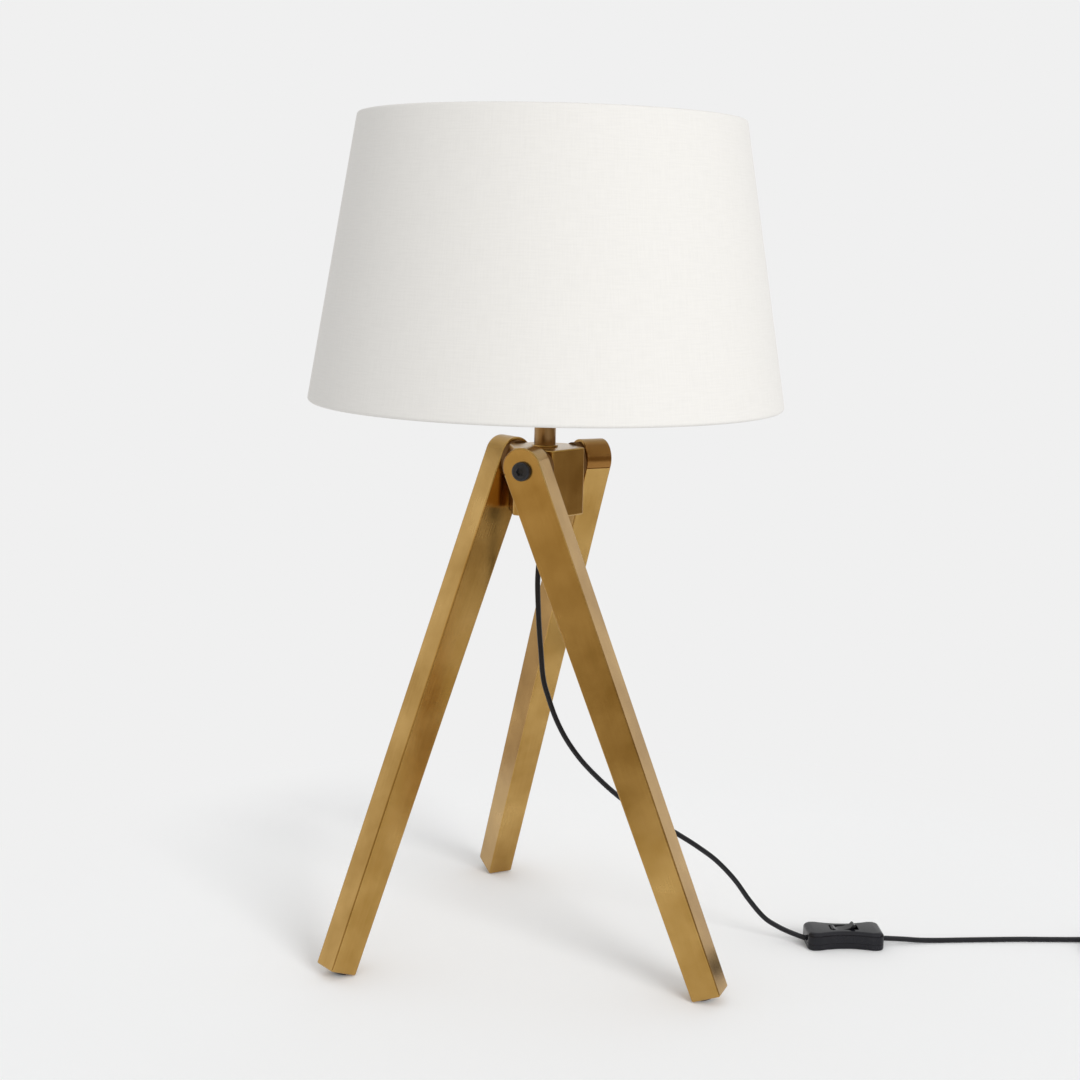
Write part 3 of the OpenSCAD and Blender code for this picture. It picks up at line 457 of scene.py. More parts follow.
# The last stretch comes straight off the upper layer and bends down to the plug, whose distances from the
# coil's side and from the bend follow
BESIDE_COIL, AFTER_BEND = 12, 2
coil_last = coil[-1] + Vector((CORD_D, 0, 0))
end_r = 4 * CORD_D + 0.5
plug_at = Vector((COIL_AT[0] + coil_outer + BESIDE_COIL, coil_last.y - end_r - RELIEF_L - AFTER_BEND,
                  PLUG_T / 2))
bend_x, bend_y = plug_at.x - end_r, coil_last.y - end_r
end_points = [coil_last, coil_last + Vector((CORD_D, 0, 0)), coil_last + Vector((3 * CORD_D, 0, 0))]
for step in range(7):
    a = radians(90 - 15 * step)
    end_points.append(Vector((bend_x + end_r * cos(a), bend_y + end_r * sin(a),
                              plug_at.z + (coil_last.z - plug_at.z) * (1 - cos(2 * a)) / 2)))
end_points.append(Vector((plug_at.x, plug_at.y + RELIEF_L, plug_at.z)))


def cord_piece(name, points, replaced):
    """A round flex along points in millimetres."""
    data = bpy.data.curves.new(name, "CURVE")
    data.dimensions = "3D"
    data.bevel_depth = CORD_D / 2 * MM
    data.bevel_resolution = 6
    data.use_fill_caps = True
    spline = data.splines.new("POLY")
    spline.points.add(len(points) - 1)
    for target, p in zip(spline.points, points):
        target.co = (p.x * MM, p.y * MM, p.z * MM, 1)
    spline.use_smooth = True
    data.materials.append(FLEX_PVC)
    piece = linked(name, data)
    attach(piece, "lamp")
    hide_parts(*replaced)
    return piece


lead_route = curve_through(LEAD_POINTS + [lead_end], 6)
lead = cord_piece("flex_to_switch", lead_route, ["cord_lead"])
tail_in = curve_through([tail_start, tail_start + switch_x * CORD_D] + TAIL_POINTS
                        + [coil[0] - Vector((2 * CORD_D, 0, 0)), coil[0] - Vector((CORD_D, 0, 0))], 6)
tail_route = tail_in + coil + curve_through(end_points, 6)
tail = cord_piece("flex_to_plug", tail_route, ["cord_tail", "cord_coil", "cord_end"])


# ---- legs, hub and bolts
def pivot_frame(direction):
    """The frame of one leg's pivot: X along the bolt, outwards."""
    return Matrix.Rotation(radians(direction), 4, "Z") @ Matrix.Translation((0, PIVOT_SHIFT, pivot_z))


def half_width(depth):
    """Half a leg's width at a depth below its pivot."""
    return (LEG_W - (LEG_W - FOOT_W) * (depth + HEAD_RISE) / (LEG_L + HEAD_RISE)) / 2


# The seam between a leg's bar and its round head: its depth, and its edges below the head's middle
SEAM_DEPTH, SEAM_EDGES = 0.6, (0.1, 0.35, 0.8, 1.05)
FOOT_CORNER = 1.2


def leg_outline(inset):
    """Side view of a leg: the round head over the tapered bar, a seam between them on the underside, and
    softened corners at the foot."""
    r = LEG_W / 2 - inset
    points = arc(0, HEAD_RISE, r, 0, 180, 64)
    top, upper, lower, end = (HEAD_RISE - edge for edge in SEAM_EDGES)
    points += [(-r, top), (-r + SEAM_DEPTH, upper), (-r + SEAM_DEPTH, lower),
               (-half_width(-end) + inset, end)]
    foot = LEG_L - inset
    for side in (-1, 1):
        x = side * (half_width(foot) - inset)
        for step in range(4):
            t = radians((step if side < 0 else 3 - step) / 3 * 90)
            points.append((x - side * FOOT_CORNER * (1 - cos(t)), -foot + FOOT_CORNER * (1 - sin(t))))
    return points


# The painted shade under a leg's head starts at this angle round it and is full after some degrees more
PAINTED_SHADE_FROM, PAINTED_SHADE_OVER = 75, 35


def painted_dark(x, y):
    """How far painted shade darkens the underside of a leg's head, from its top round to the seam."""
    if y < HEAD_RISE - 1:
        return 0.0
    turn = degrees(atan2(y - HEAD_RISE, x)) % 360
    return min(max((turn - PAINTED_SHADE_FROM) / PAINTED_SHADE_OVER, 0.0), 1.0)


# A side view's x and y lie along Y and Z of the pivot's frame, and its height along X
LEG_AXES = Matrix(((0, 0, 1, 0), (1, 0, 0, 0), (0, 1, 0, 0), (0, 0, 0, 1)))
# Gives each leg clouds of its own, in millimetres for each degree of its direction
CLOUD_SHIFT = 100

leg_levels = rounded_levels(leg_in, leg_out, LEG_BEVEL, LEG_BEVEL)
for side, direction in BOLT_DIRS.items():
    place = pivot_frame(direction) @ Matrix.Rotation(radians(LEG_SPREAD), 4, "X") @ LEG_AXES
    verts, faces, local = prism(leg_outline, leg_levels, place)
    # Painted shade darkens each leg's head underneath, towards the seam
    painted_shade = [painted_dark(x, y) if leg_in < h < leg_out else 0.0 for x, h, y in local]
    local = [(x + CLOUD_SHIFT * direction, h, y) for x, h, y in local]
    make_piece(f"leg_{side}_brushed", verts, faces, ANTIQUE_BRASS, f"{side}_leg",
               [f"leg_{side}"], local, painted_shade)


def hub_outline(inset):
    """The hub's six faces, with bevelled upright corners."""
    a, dirs = HUB_APOTHEM - inset, []
    plan = [BOLT_DIRS["front"], BOLT_DIRS["rear"], BOLT_DIRS["left"], BOLT_DIRS["front"] + 360]
    for one, two in zip(plan, plan[1:]):
        dirs += [one, (one + two) / 2]
    dirs.append(dirs[0] + 360)
    points = []
    for one, two in zip(dirs, dirs[1:]):
        reach, mid = a / cos(radians(two - one) / 2), radians(one + two) / 2
        corner = Vector((reach * cos(mid), reach * sin(mid)))
        start = corner + HUB_CORNER * Vector((sin(radians(one)), -cos(radians(one))))
        end = corner + HUB_CORNER * Vector((-sin(radians(two)), cos(radians(two))))
        for t in (0, 1 / 3, 2 / 3, 1):
            points.append(tuple((1 - t) ** 2 * start + 2 * t * (1 - t) * corner + t * t * end))
    return points


verts, faces, local = prism(hub_outline, rounded_levels(hub_bottom, hub_top, HUB_BEVEL, HUB_BEVEL),
                            Matrix.Identity(4))
local = [(x, y, h) for x, h, y in local]
hub = make_piece("hub_brushed", verts, faces, ANTIQUE_BRASS, "lamp", ["hub_block"], local)
recess = lathe([(RECESS_D / 2, -2), (RECESS_D / 2, RECESS_H)], 64, (0, 0, hub_bottom), looped=False)
carve(hub, *recess, first=True)


def hexagon(r_from):
    """A lathe's shape whose rings are hexagons from a given one on."""
    def shape(i, r, a):
        return r / cos((a + pi / 6) % (pi / 3) - pi / 6) if i >= r_from else r
    return shape


def round_the_hub(name, piece, material, sizes):
    """Sets a piece that is drawn along X in front of each of the hub's faces that carry a leg. The three
    directions and the place on a face are inputs of the node tree."""
    tree = bpy.data.node_groups.new(name, "GeometryNodeTree")
    tree.interface.new_socket("Piece", in_out="INPUT", socket_type="NodeSocketGeometry")
    named = {label: tree.interface.new_socket(label, in_out="INPUT", socket_type="NodeSocketFloat")
             for label in sizes}
    tree.interface.new_socket("Pieces", in_out="OUTPUT", socket_type="NodeSocketGeometry")
    given = add(tree, "NodeGroupInput").outputs
    place = add(tree, "ShaderNodeCombineXYZ",
                {"X": given["Reach"], "Y": given["Shift"], "Z": given["Height"]})
    moved = add(tree, "GeometryNodeTransform",
                {"Geometry": given["Piece"], "Translation": place.outputs["Vector"]})
    joined = add(tree, "GeometryNodeJoinGeometry")
    for label in ("Front direction", "Rear direction", "Left direction"):
        turn = add(tree, "ShaderNodeCombineXYZ", {"Z": given[label]})
        one = add(tree, "GeometryNodeTransform",
                  {"Geometry": moved.outputs["Geometry"], "Rotation": turn.outputs["Vector"]})
        tree.links.new(one.outputs["Geometry"], joined.inputs["Geometry"])
    real = add(tree, "GeometryNodeRealizeInstances", {"Geometry": joined.outputs["Geometry"]})
    dressed = add(tree, "GeometryNodeSetMaterial", {"Geometry": real.outputs["Geometry"]},
                  {"Material": material})
    add(tree, "NodeGroupOutput", {"Pieces": dressed.outputs["Geometry"]})
    modifier = piece.modifiers.new(name, "NODES")
    modifier.node_group = tree
    for label, value in sizes.items():
        modifier[named[label].identifier] = float(value)
    bake(piece)


def at_each_leg(name, solids, material, node, reach):
    """One object with a small piece at each leg, riding on the hub."""
    verts, faces = [], []
    for more_verts, more_faces in solids:
        faces += [tuple(len(verts) + k for k in f) for f in more_faces]
        verts += more_verts
    piece = linked(name, smooth_mesh(name, verts, faces, verts))
    sizes = {"Front direction": radians(BOLT_DIRS["front"]), "Rear direction": radians(BOLT_DIRS["rear"]),
             "Left direction": radians(BOLT_DIRS["left"]), "Reach": reach * MM, "Shift": PIVOT_SHIFT * MM,
             "Height": pivot_z * MM}
    round_the_hub(name, piece, material, sizes)
    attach(piece, "lamp")
    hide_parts(node)


ALONG_X = Matrix.Rotation(radians(90), 3, "Y")
bolt_r, head_r, washer_r, socket = BOLT_D / 2, HEAD_D / 2, WASHER_D / 2, SOCKET_AF / 2
# A button head: the dome starts at the crown's height, and the socket is a hexagon from its second ring on
crown, socket_floor = HEAD_H * 0.45, HEAD_H * 0.4
head_profile = ([(bolt_r, -0.4), (head_r - 0.3, 0), (head_r, 0.3)]
                + [(head_r - (HEAD_H - crown) * (1 - cos(a)), crown + (HEAD_H - crown) * sin(a))
                   for a in [radians(9 * k) for k in range(11)]])
sunk = len(head_profile) + 1
head_profile += [(socket + 0.55, HEAD_H), (socket, HEAD_H - 0.35), (socket, socket_floor),
                 (0.0, socket_floor - 0.3)]
bolt_l = leg_out - HUB_APOTHEM + BOLT_GRIP
head = lathe(head_profile, 72, axis=ALONG_X, looped=False, shape=hexagon(sunk))
shank = lathe([(bolt_r, -bolt_l), (bolt_r, -0.4)], 48, axis=ALONG_X, looped=False)
at_each_leg("pivot_bolts_black", [head, shank], BLACK_STEEL, "pivot_bolts",
            leg_out + SEAT_CLEAR)

# The washer stays clear of the leg that turns against it
washer_top = WASHER_T - SEAT_CLEAR
washer = lathe(rounded([(bolt_r + SEAT_CLEAR, 0), (washer_r, 0), (washer_r, washer_top),
                        (bolt_r + SEAT_CLEAR, washer_top)], 0.4), 72, axis=ALONG_X)
at_each_leg("friction_washers_fibre", [washer], WASHER_FIBRE, "friction_washers",
            HUB_APOTHEM)


# ---- stem and lamp holder
def turned(name, profile, material, replaced, soft=0.3, n=96, looped=True, shape=None):
    """A round piece on the lamp's own axis."""
    verts, faces = lathe(rounded(profile, soft) if soft else profile, n, looped=looped, shape=shape)
    return make_piece(name, verts, faces, material, "lamp", replaced, weighted=False)


STEM_WALL = 1.5
stem_r, collar_r, sleeve_r = STEM_D / 2, COLLAR_D / 2, SLEEVE_D / 2
# Holes that the pipe and the flex pass through
pipe_hole, flex_hole = PIPE_D / 2 + SEAT_CLEAR, CORD_D / 2 + SEAT_CLEAR
turned("stem_tube_brushed", [(stem_r - STEM_WALL, stem_z), (stem_r, stem_z), (stem_r, cap_z),
                             (stem_r - STEM_WALL, cap_z)], SHADED_BRASS, ["stem_tube"])
turned("stem_collar_turned", [(pipe_hole, hub_top), (collar_r, hub_top), (collar_r, stem_z),
                              (pipe_hole, stem_z)], ANTIQUE_BRASS, ["stem_collar"], 0.35)

# The cap is a bell from the stem's width to the sleeve's, with a wall of its own
shoulder, inner = CAP_H * 0.45, sleeve_r - HOLDER_WALL
neck_r = stem_r + 1
cap_profile = [(pipe_hole, 0), (neck_r, 0)]
cap_profile += [(neck_r + (sleeve_r - neck_r) * sin(a), 1 + shoulder * (1 - cos(a)))
                for a in [radians(7.5 * k) for k in range(13)]]
cap_profile += [(sleeve_r, CAP_H), (inner, CAP_H), (inner, shoulder + 4), (stem_r + 3, 5), (pipe_hole, 5)]
turned("holder_cap_moulded", [(r, cap_z + z) for r, z in cap_profile], HOLDER_PLASTIC,
       ["holder_cap"], 0)

# The sleeve's outer thread, as rings
thread = []
pitch, rise = 2.2, 0.5
for k in range(int((SLEEVE_H - 3) / pitch)):
    z = FLANGE_T + 1 + k * pitch
    thread += [(sleeve_r - rise, z), (sleeve_r, z + pitch * 0.3), (sleeve_r, z + pitch * 0.5),
               (sleeve_r - rise, z + pitch * 0.8)]
top = FLANGE_T + SLEEVE_H
sleeve_profile = ([(inner, 0), (FLANGE_D / 2, 0), (FLANGE_D / 2, FLANGE_T), (sleeve_r - rise, FLANGE_T)]
                  + thread
                  + [(sleeve_r - 1, top), (inner - 2, top), (inner - 2, top - 2), (inner, top - 2)])
turned("holder_sleeve_threaded", [(r, flange_z + z) for r, z in sleeve_profile], HOLDER_PLASTIC,
       ["holder_sleeve"], 0.15)


GRIPS, GRIP_DEPTH = 12, 0.7


def knurled(i, r, a):
    """Finger grips round the shade ring's rim."""
    on_rim = sleeve_r + 2 < r < RING_D / 2 - 1
    return r - GRIP_DEPTH * max(0, cos(GRIPS * a)) ** 6 if on_rim else r


ring_profile = [(sleeve_r + SEAT_CLEAR, 0), (RING_D / 2, 0), (RING_D / 2, 1.6), (sleeve_r + 3, 2.4),
                (sleeve_r + 3, RING_H - 0.6), (sleeve_r + 2.4, RING_H), (sleeve_r + SEAT_CLEAR, RING_H)]
turned("shade_ring_gripped", [(r, seat_z + PLATE_T + z) for r, z in ring_profile], HOLDER_PLASTIC,
       ["shade_ring"], 0.25, 144, shape=knurled)

# The gland below the hub tapers down to the flex in ribs
GLAND_RIBS = 9
relief = []
for k in range(GLAND_RIBS):
    low = -8 - (GLAND_L - 9) * k / GLAND_RIBS
    rib_r = CORD_D / 2 + 2.6 - 1.5 * k / GLAND_RIBS
    relief += [(rib_r, low), (rib_r, low - 1.0), (rib_r - 0.55, low - 1.15), (rib_r - 0.6, low - 1.8)]
gland_profile = ([(pipe_hole, 0), (7.5, 0), (7.5, -7), (6.5, -8)] + relief
                 + [(CORD_D / 2 + 0.6, -GLAND_L), (flex_hole, -GLAND_L), (flex_hole, -9), (3.5, -7),
                    (3.5, -6), (pipe_hole, -6)])
turned("gland_ribbed", [(r, gland_z + z) for r, z in gland_profile], BLACK_NYLON,
       ["cord_gland"], 0.12, 64)

# ---- shade
cone_in = (SHADE_BOTTOM_D - SHADE_TOP_D) / 2
lean, slope = asin(cone_in / hypot(SHADE_H, cone_in)), cone_in / SHADE_H
lean_deg = degrees(lean)
# Square to the cloth outwards, and up along it
side_way, up_way = Vector((cos(lean), sin(lean))), Vector((-sin(lean), cos(lean)))
# The middles of the two wires that the hems are folded round, as (radius, height over the shade's rim)
fold_r = WIRE_D / 2 + FABRIC_T
ring_low = Vector((SHADE_BOTTOM_D / 2 - fold_r / cos(lean) - fold_r * slope, fold_r))
ring_high = Vector((SHADE_BOTTOM_D / 2 - (SHADE_H - fold_r) * slope - fold_r / cos(lean), SHADE_H - fold_r))

CLOTH_SIDES, CLOTH_ROWS, HEM_ROWS = 360, 44, 16
# The cloth is pressed in beside each wire: how deep, how far from the wire, and half how wide
PRESSED, PRESSED_AT, PRESSED_HALF_W = 0.16, 4.6, 2.6
# The glued lap up the back: its direction in degrees, its width and height, and how wide its edges are
LAP_AT, LAP_W, LAP_T, LAP_EDGE = 78, 9.0, 0.35, 0.8


def shade_profile():
    """Outside line of the cloth from the end of one hem, round both wires, to the end of the other."""
    lip_high = ring_high - side_way * fold_r - up_way * HEM
    lip_low = ring_low - side_way * fold_r + up_way * HEM
    high = arc(ring_high.x, ring_high.y, fold_r, 180 + lean_deg, lean_deg, 12)
    low = arc(ring_low.x, ring_low.y, fold_r, lean_deg, lean_deg - 180, 12)
    start, end = Vector(high[-1]), Vector(low[0])
    middle = [tuple(start.lerp(end, k / CLOTH_ROWS)) for k in range(1, CLOTH_ROWS)]
    return [tuple(lip_high)] + high + middle + low + [tuple(lip_low)]


def offset_inwards(line, thickness):
    """The same line moved to its right by a thickness."""
    out = []
    for i, p in enumerate(line):
        a, b = Vector(line[max(i - 1, 0)]), Vector(line[min(i + 1, len(line) - 1)])
        way = (b - a).normalized()
        out.append((p[0] + way.y * thickness, p[1] - way.x * thickness))
    return out


def cloth_push(r, z, a):
    """How far a point of the cloth's outer side is moved out, by the pressed lines and the lap."""
    near_low = abs(z - ring_low.y - PRESSED_AT) / PRESSED_HALF_W
    near_high = abs(z - ring_high.y + PRESSED_AT) / PRESSED_HALF_W
    across = abs((a - radians(LAP_AT) + pi) % (2 * pi) - pi) * r
    return (LAP_T * min(1, max(0, (LAP_W / 2 - across) / LAP_EDGE + 0.5))
            - PRESSED * (max(0, 1 - near_low) + max(0, 1 - near_high)))


def cloth_piece():
    """The fabric cone with its rolled hems, and the length of its outside line in millimetres."""
    outer = shade_profile()
    inner = offset_inwards(outer, FABRIC_T - SEAT_CLEAR)
    n = CLOTH_SIDES
    reach, walked = [], 0.0
    for i, p in enumerate(outer):
        walked += hypot(p[0] - outer[i - 1][0], p[1] - outer[i - 1][1]) if i else 0
        reach.append(walked)
    verts, cloth = [], []
    for line in (outer, inner):
        for i, (r, z) in enumerate(line):
            dressed = line is outer and HEM_ROWS < i < len(outer) - HEM_ROWS
            for k in range(n):
                a = 2 * pi * k / n
                push = cloth_push(r, z, a) if dressed else 0.0
                verts.append(((r + push) * cos(a), (r + push) * sin(a), shade_z + z))
                cloth.append((a * SHADE_BOTTOM_D / 2 * MM, reach[i] * MM, 0.0))
    m = len(outer)
    # The inner side's points follow the outer side's
    b = m * n
    faces = []
    for i in range(m - 1):
        for k in range(n):
            q = (k + 1) % n
            faces.append((i * n + k, i * n + q, (i + 1) * n + q, (i + 1) * n + k))
            faces.append((b + (i + 1) * n + k, b + (i + 1) * n + q, b + i * n + q, b + i * n + k))
    for row in (0, m - 1):
        for k in range(n):
            one, two = row * n + k, row * n + (k + 1) % n
            faces.append((one, two, b + two, b + one) if row else (two, one, b + one, b + two))
    piece = make_piece("shade_cloth", verts, faces, SHADE_CLOTH, "lamp", ["shade_fabric"],
                       angle=50, weighted=False)
    # Where a point lies on the flat cloth, in metres, for the weave
    layer = piece.data.attributes.new("cloth", "FLOAT_VECTOR", "POINT")
    for i, value in enumerate(cloth):
        layer.data[i].vector = value
    return piece, walked


cloth, cloth_walk = cloth_piece()

# The film lies on the wires' outer side and ends a little past their middles
past_wire = WIRE_D / 2 + 0.4
film_low = ring_low + side_way * WIRE_D / 2 + up_way * past_wire
film_high = ring_high + side_way * WIRE_D / 2 - up_way * past_wire
film = [film_low, film_high, film_high - side_way * LINING_T, film_low - side_way * LINING_T]
verts, faces = lathe(rounded([(p.x, shade_z + p.y) for p in film], 0.2), 256)
make_piece("shade_film", verts, faces, LINING_FILM, "lamp", ["shade_lining"],
           weighted=False)

# ---- hand switch
switch_place = (Matrix.Translation((SWITCH_AT[0], SWITCH_AT[1], 0))
                @ Matrix.Rotation(radians(SWITCH_TURN), 4, "Z"))
# The waist is an arc over this share of the length to either side of the middle
waist_half = SWITCH_L * 0.34
waist_r = (waist_half ** 2 + WAIST ** 2) / (2 * WAIST)
SWITCH_CORNER = 5
# How much the switch's lower rim, the joint of its shells and its upper rim are rounded
RIM_LOW, RIM_JOINT, RIM_HIGH = 1.5, 0.3, 3.4


def switch_outline(inset):
    """Plan of the switch: rounded ends and a waist drawn in on both sides."""
    y, points = SWITCH_W / 2 - inset, []
    for sx, sy, corner in soft_corners(SWITCH_L / 2 - inset, y, SWITCH_CORNER - inset / 2, 8):
        points += corner
        if sx == sy:
            for k in range(25):
                px = sx * waist_half * 1.02 * (1 - 2 * k / 24)
                drawn = sqrt(max((waist_r + inset) ** 2 - px * px, 0)) - waist_r + WAIST - inset
                points.append((px, sy * (y - max(drawn, 0))))
    return points


base_levels = rounded_levels(0, BASE_H, RIM_LOW, RIM_JOINT)
cover_levels = rounded_levels(BASE_H + 0.02, BASE_H + COVER_H, RIM_JOINT, RIM_HIGH, 8)
verts, faces, _ = prism(switch_outline, base_levels, switch_place)
make_piece("switch_lower_shell", verts, faces, SWITCH_PLASTIC, "lamp", ["switch_base"])
verts, faces, _ = prism(switch_outline, cover_levels, switch_place)
cover = make_piece("switch_upper_shell", verts, faces, SWITCH_PLASTIC, "lamp",
                   ["switch_cover"])


# The rocker's opening: its corners, and how far and how high it flares at its top
SLOT_CORNER, SLOT_FLARE, SLOT_FLARE_H = 1.2, 0.8, 2.2
slot_low, slot_high = BASE_H + 1.5, BASE_H + COVER_H + 0.6


def slot_outline(inset):
    """Plan of the rocker's opening."""
    corners = soft_corners(ROCKER_L / 2 + 1.2 - inset, ROCKER_W / 2 + 0.3 - inset, SLOT_CORNER, 5)
    return [p for _, _, points in corners for p in points]


slot_levels = [(slot_low, 0), (slot_high - SLOT_FLARE_H, 0), (slot_high, -SLOT_FLARE)]
verts, faces, _ = prism(slot_outline, slot_levels, switch_place)
carve(cover, verts, faces)

rocker_place = (switch_place @ Matrix.Translation((0, 0, BASE_H + COVER_H - PIVOT_DEPTH))
                @ Matrix.Rotation(radians(-ROCKER_TILT), 4, "Y") @ Matrix.Rotation(radians(90), 4, "X"))
tip, lift = ROCKER_L / 2, ROCKER_L / 2 * tan(radians(ROCKER_TILT))


def rocker_outline(inset):
    """Side view of the rocker: two thick rounded ends that rise over a shallow valley."""
    r, rim = 1.5 - inset, PIVOT_DEPTH + lift
    valley = [(x, PIVOT_DEPTH + lift * abs(x / tip) ** 1.6 - 0.35 - inset)
              for x in (5.4, 3.6, 1.8, 0, -1.8, -3.6, -5.4)]
    keel = [(-tip + inset, rim - 1.7), (-3 + inset, inset), (-2.6, -1.6 + inset), (0, -3 + inset),
            (2.6, -1.6 + inset), (3 - inset, inset), (tip - inset, rim - 1.7)]
    return (arc(tip - 1.5, rim - 1.0, r, 0, 115, 8) + valley + arc(1.5 - tip, rim - 1.0, r, 65, 180, 8)
            + keel)


verts, faces, _ = prism(rocker_outline, rounded_levels(-ROCKER_W / 2, ROCKER_W / 2, 0.5, 0.5), rocker_place)
make_piece("switch_rocker_polished", verts, faces, ROCKER_PLASTIC, "rocker",
           ["switch_rocker"])


# ---- plug
PLUG_SIDES = 64


def plug_ring(x, half_w, half_t, power):
    """One oval section of the plug, square to its length. The plug's own length runs towards -Y."""
    ring = []
    for k in range(PLUG_SIDES):
        a = 2 * pi * k / PLUG_SIDES
        c, s = cos(a), sin(a)
        across = half_w * (1 if c > 0 else -1) * abs(c) ** power
        height = half_t * (1 if s > 0 else -1) * abs(s) ** power
        ring.append((plug_at.x + across, plug_at.y - x, plug_at.z + height))
    return ring


# Ribs of the relief, and of the grip with their first place, pitch and growth
RELIEF_RIBS = 8
GRIP_RIBS, GRIP_AT, GRIP_PITCH, GRIP_GROWTH = 5, 6, 2.2, 0.35
wide, thick, grip = PLUG_W / 2, PLUG_T / 2, PLUG_W * 0.31
# Sections from the flex to the pins' face: place, half width, half thickness, and power of the oval
sections = [(-RELIEF_L, CORD_D / 2 + 0.6, CORD_D / 2 + 0.6, 1)]
for k in range(RELIEF_RIBS):
    x = -RELIEF_L + 0.6 + (RELIEF_L - 2) * k / RELIEF_RIBS
    r = CORD_D / 2 + 0.8 + 1.8 * k / RELIEF_RIBS
    sections += [(x, r, r, 1), (x + 1.4, r, r, 1), (x + 1.5, r - 0.5, r - 0.5, 1),
                 (x + 2.2, r - 0.5, r - 0.5, 1)]
sections += [(-0.6, 4.6, 4.6, 1), (0, 6.2, 5.6, 0.8), (1.2, grip - 0.3, thick - 1.1, 0.6),
             (4, grip, thick - 0.5, 0.5)]
for k in range(GRIP_RIBS):
    x, half = GRIP_AT + k * GRIP_PITCH, grip + GRIP_GROWTH * k
    sections += [(x, half, thick - 0.4, 0.5), (x + 0.7, half - 0.5, thick - 0.9, 0.5),
                 (x + 1.4, half - 0.5, thick - 0.9, 0.5)]
sections += [(19, wide - 2, thick - 0.2, 0.48), (22.5, wide, thick, 0.45), (PLUG_L - 1, wide, thick, 0.45),
             (PLUG_L - 0.3, wide - 0.4, thick - 0.4, 0.45), (PLUG_L, wide - 1.2, thick - 1.2, 0.45)]
verts, faces = skin([plug_ring(*section) for section in sections])
make_piece("plug_moulded", verts, faces, SWITCH_PLASTIC, "lamp", ["plug_body"], angle=40,
           weighted=False)

# ---- CAD nodes that keep their shape
KEPT = {
    BRIGHT_BRASS: ["threaded_pipe", "screw_shell", "centre_contact", "switch_contacts"],
    PLATED_STEEL: ["pipe_nut", "terminal_screws", "switch_screws", "plug_pins"],
    BLACK_NYLON: ["coil_tie", "plug_sleeves"],
    FLEX_PVC: ["pipe_flex"],
    PAD_RUBBER: ["foot_pad_front", "foot_pad_rear", "foot_pad_left"],
    PORCELAIN: ["holder_core"],
    WHITE_WIRE: ["shade_carrier", "shade_top_wire"],
}
for material, names in KEPT.items():
    for name in names:
        mesh = nodes[name].data
        mesh.materials.clear()
        mesh.materials.append(material)

# ---- floor and light
BACKDROP = "F0F0F0"
# Soft lights from the front right: direction and height in degrees, spread, level, and whether gloss shows
# them. The low one draws the shadows of the feet
LIGHTS = (("high_key", -60, 42, 62, 0.06, True), ("low_key", -56, 25, 26, 0.47, False))
# How much of their light the paper gives back, far from the lamp and near it, and its tint. The higher
# share near the lamp is painted light that lifts the shade that the lamp casts on the floor
FLOOR_FAR, FLOOR_NEAR = 0.955, 0.99
PAPER_TINT = (0.99, 0.996, 1.0)
# Middle of the paper's painted pool of light and of its part that doesn't glow, each with the span of its
# fading
PAINTED_POOL_AT, PAINTED_POOL_SPAN = (-0.03, 0.12, 0), (0.05, 0.45)
MATT_AT, MATT_SPAN = (0.08, -0.10, 0), (0.44, 0.62)
# The backdrop's level as a light on matt pieces
FILL = 0.695


def studio_paper():
    """Matt pale paper with a painted pool of light round the lamp, that glows with the backdrop's tone away
    from it.
    """
    material, tree, bsdf = new_material("studio_paper", {
        "Emission Color": srgb(BACKDROP), "Roughness": 1.0, "Specular IOR Level": 0.0})
    place = add(tree, "ShaderNodeTexCoord").outputs["Object"]

    def from_middle(middle, span, level_near, level_far):
        away = add(tree, "ShaderNodeVectorMath", {0: place}, {1: middle}, operation="DISTANCE")
        return add(tree, "ShaderNodeMapRange", {"Value": away.outputs["Value"]},
                   {"From Min": span[0], "From Max": span[1], "To Min": level_near, "To Max": level_far},
                   interpolation_type="SMOOTHSTEP").outputs["Result"]

    painted_pool = from_middle(PAINTED_POOL_AT, PAINTED_POOL_SPAN, FLOOR_NEAR, FLOOR_FAR)
    glow = from_middle(MATT_AT, MATT_SPAN, 0, 1)
    # painted_pool * (1 - glow)
    less = add(tree, "ShaderNodeMath", {0: glow}, {1: -1.0}, operation="MULTIPLY").outputs[0]
    paper = add(tree, "ShaderNodeMath", {0: less, 1: painted_pool, 2: painted_pool}, operation="MULTIPLY_ADD").outputs[0]
    tinted = add(tree, "ShaderNodeVectorMath", {"Scale": paper}, {0: PAPER_TINT}, operation="SCALE")
    tree.links.new(tinted.outputs["Vector"], bsdf.inputs["Base Color"])
    tree.links.new(glow, bsdf.inputs["Emission Strength"])
    return material


def stage_sheet(name, corners, material):
    """A flat piece of the studio."""
    mesh = bpy.data.meshes.new(name)
    mesh.from_pydata(corners, [], [(0, 1, 2, 3)])
    mesh.materials.append(material)
    sheet = linked(name, mesh)
    return sheet


FLOOR_REACH = 80
stage_sheet("floor", [(x * FLOOR_REACH, y * FLOOR_REACH, 0)
                      for x, y in ((-1, -1), (1, -1), (1, 1), (-1, 1))], studio_paper())
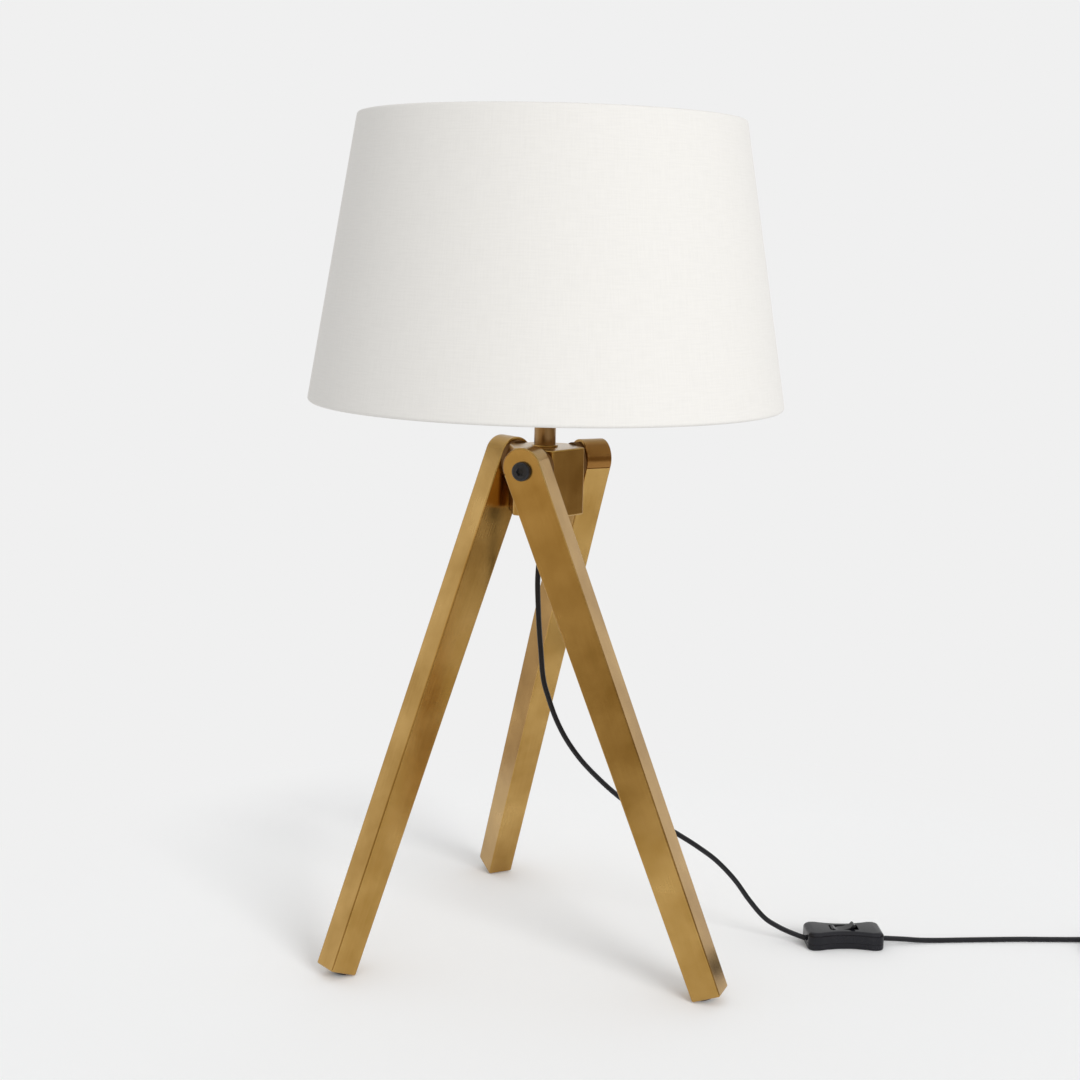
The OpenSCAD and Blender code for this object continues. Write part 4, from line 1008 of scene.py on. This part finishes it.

# Glowing brown cards round the lamp, as a studio's flags, so that the brass shows dark and light. Each has
# a name, its ends on the floor in metres, its tone low down and its tone higher up. Only gloss shows them
CARDS = (("front_card", (-0.9, -1.65), (1.35, -1.65), (0.27, 0.222, 0.157), (0.27, 0.222, 0.157)),
         ("right_card", (1.35, -1.65), (1.35, 0.7), (0.29, 0.228, 0.155), (0.29, 0.228, 0.155)),
         ("left_card", (-0.42, -0.12), (-0.02, -0.50), (0.46, 0.395, 0.295), (0.72, 0.625, 0.48)),
         ("back_card", (-0.14, 0.42), (-0.36, 0.26), (0.6, 0.53, 0.44), (0.6, 0.53, 0.44)))
CARD_LOW, CARD_HIGH = 0.002, 0.75
# Heights between which one tone turns into the other
CARD_TURNS = (0.16, 0.34)


def glowing_card(name, low, high):
    """A black finish that glows with one tone low down and another higher up."""
    material, tree, bsdf = new_material(name, {
        "Base Color": (0, 0, 0, 1), "Specular IOR Level": 0.0, "Emission Strength": 1.0})
    place = add(tree, "ShaderNodeTexCoord").outputs["Object"]
    height = add(tree, "ShaderNodeSeparateXYZ", {0: place}).outputs["Z"]
    share = add(tree, "ShaderNodeMapRange", {"Value": height},
                {"From Min": CARD_TURNS[0], "From Max": CARD_TURNS[1]}).outputs["Result"]
    tone = add(tree, "ShaderNodeMix", {"Factor": share}, {6: (*low, 1), 7: (*high, 1)}, data_type="RGBA")
    tree.links.new(tone.outputs[2], bsdf.inputs["Emission Color"])
    return material


for name, start, end, low, high in CARDS:
    card = stage_sheet(name, [(*start, CARD_LOW), (*end, CARD_LOW), (*end, CARD_HIGH), (*start, CARD_HIGH)],
                       glowing_card(name, low, high))
    card.visible_camera = False
    card.visible_diffuse = False
    card.visible_shadow = False

# The backdrop is seen, also in the brass, at its own tone, and lights matt pieces a little less
world = bpy.data.worlds.new("studio")
world.use_nodes = True
sky = world.node_tree
scattered = add(sky, "ShaderNodeLightPath").outputs["Is Diffuse Ray"]
tone = add(sky, "ShaderNodeMix", {"Factor": scattered}, {6: srgb(BACKDROP), 7: (FILL, FILL, FILL, 1)},
           data_type="RGBA")
sky.links.new(tone.outputs[2], sky.nodes["Background"].inputs["Color"])
bpy.context.scene.world = world

for name, azimuth, height, spread, level, in_gloss in LIGHTS:
    light = bpy.data.lights.new(name, "SUN")
    light.energy, light.angle = pi * level, radians(spread)
    a, h = radians(azimuth), radians(height)
    comes_from = Vector((cos(a) * cos(h), sin(a) * cos(h), sin(h)))
    lamp = linked(name, light)
    lamp.visible_glossy = in_gloss
    lamp.rotation_euler = comes_from.to_track_quat("Z", "Y").to_euler()

bpy.context.scene.view_settings.view_transform = "Standard"
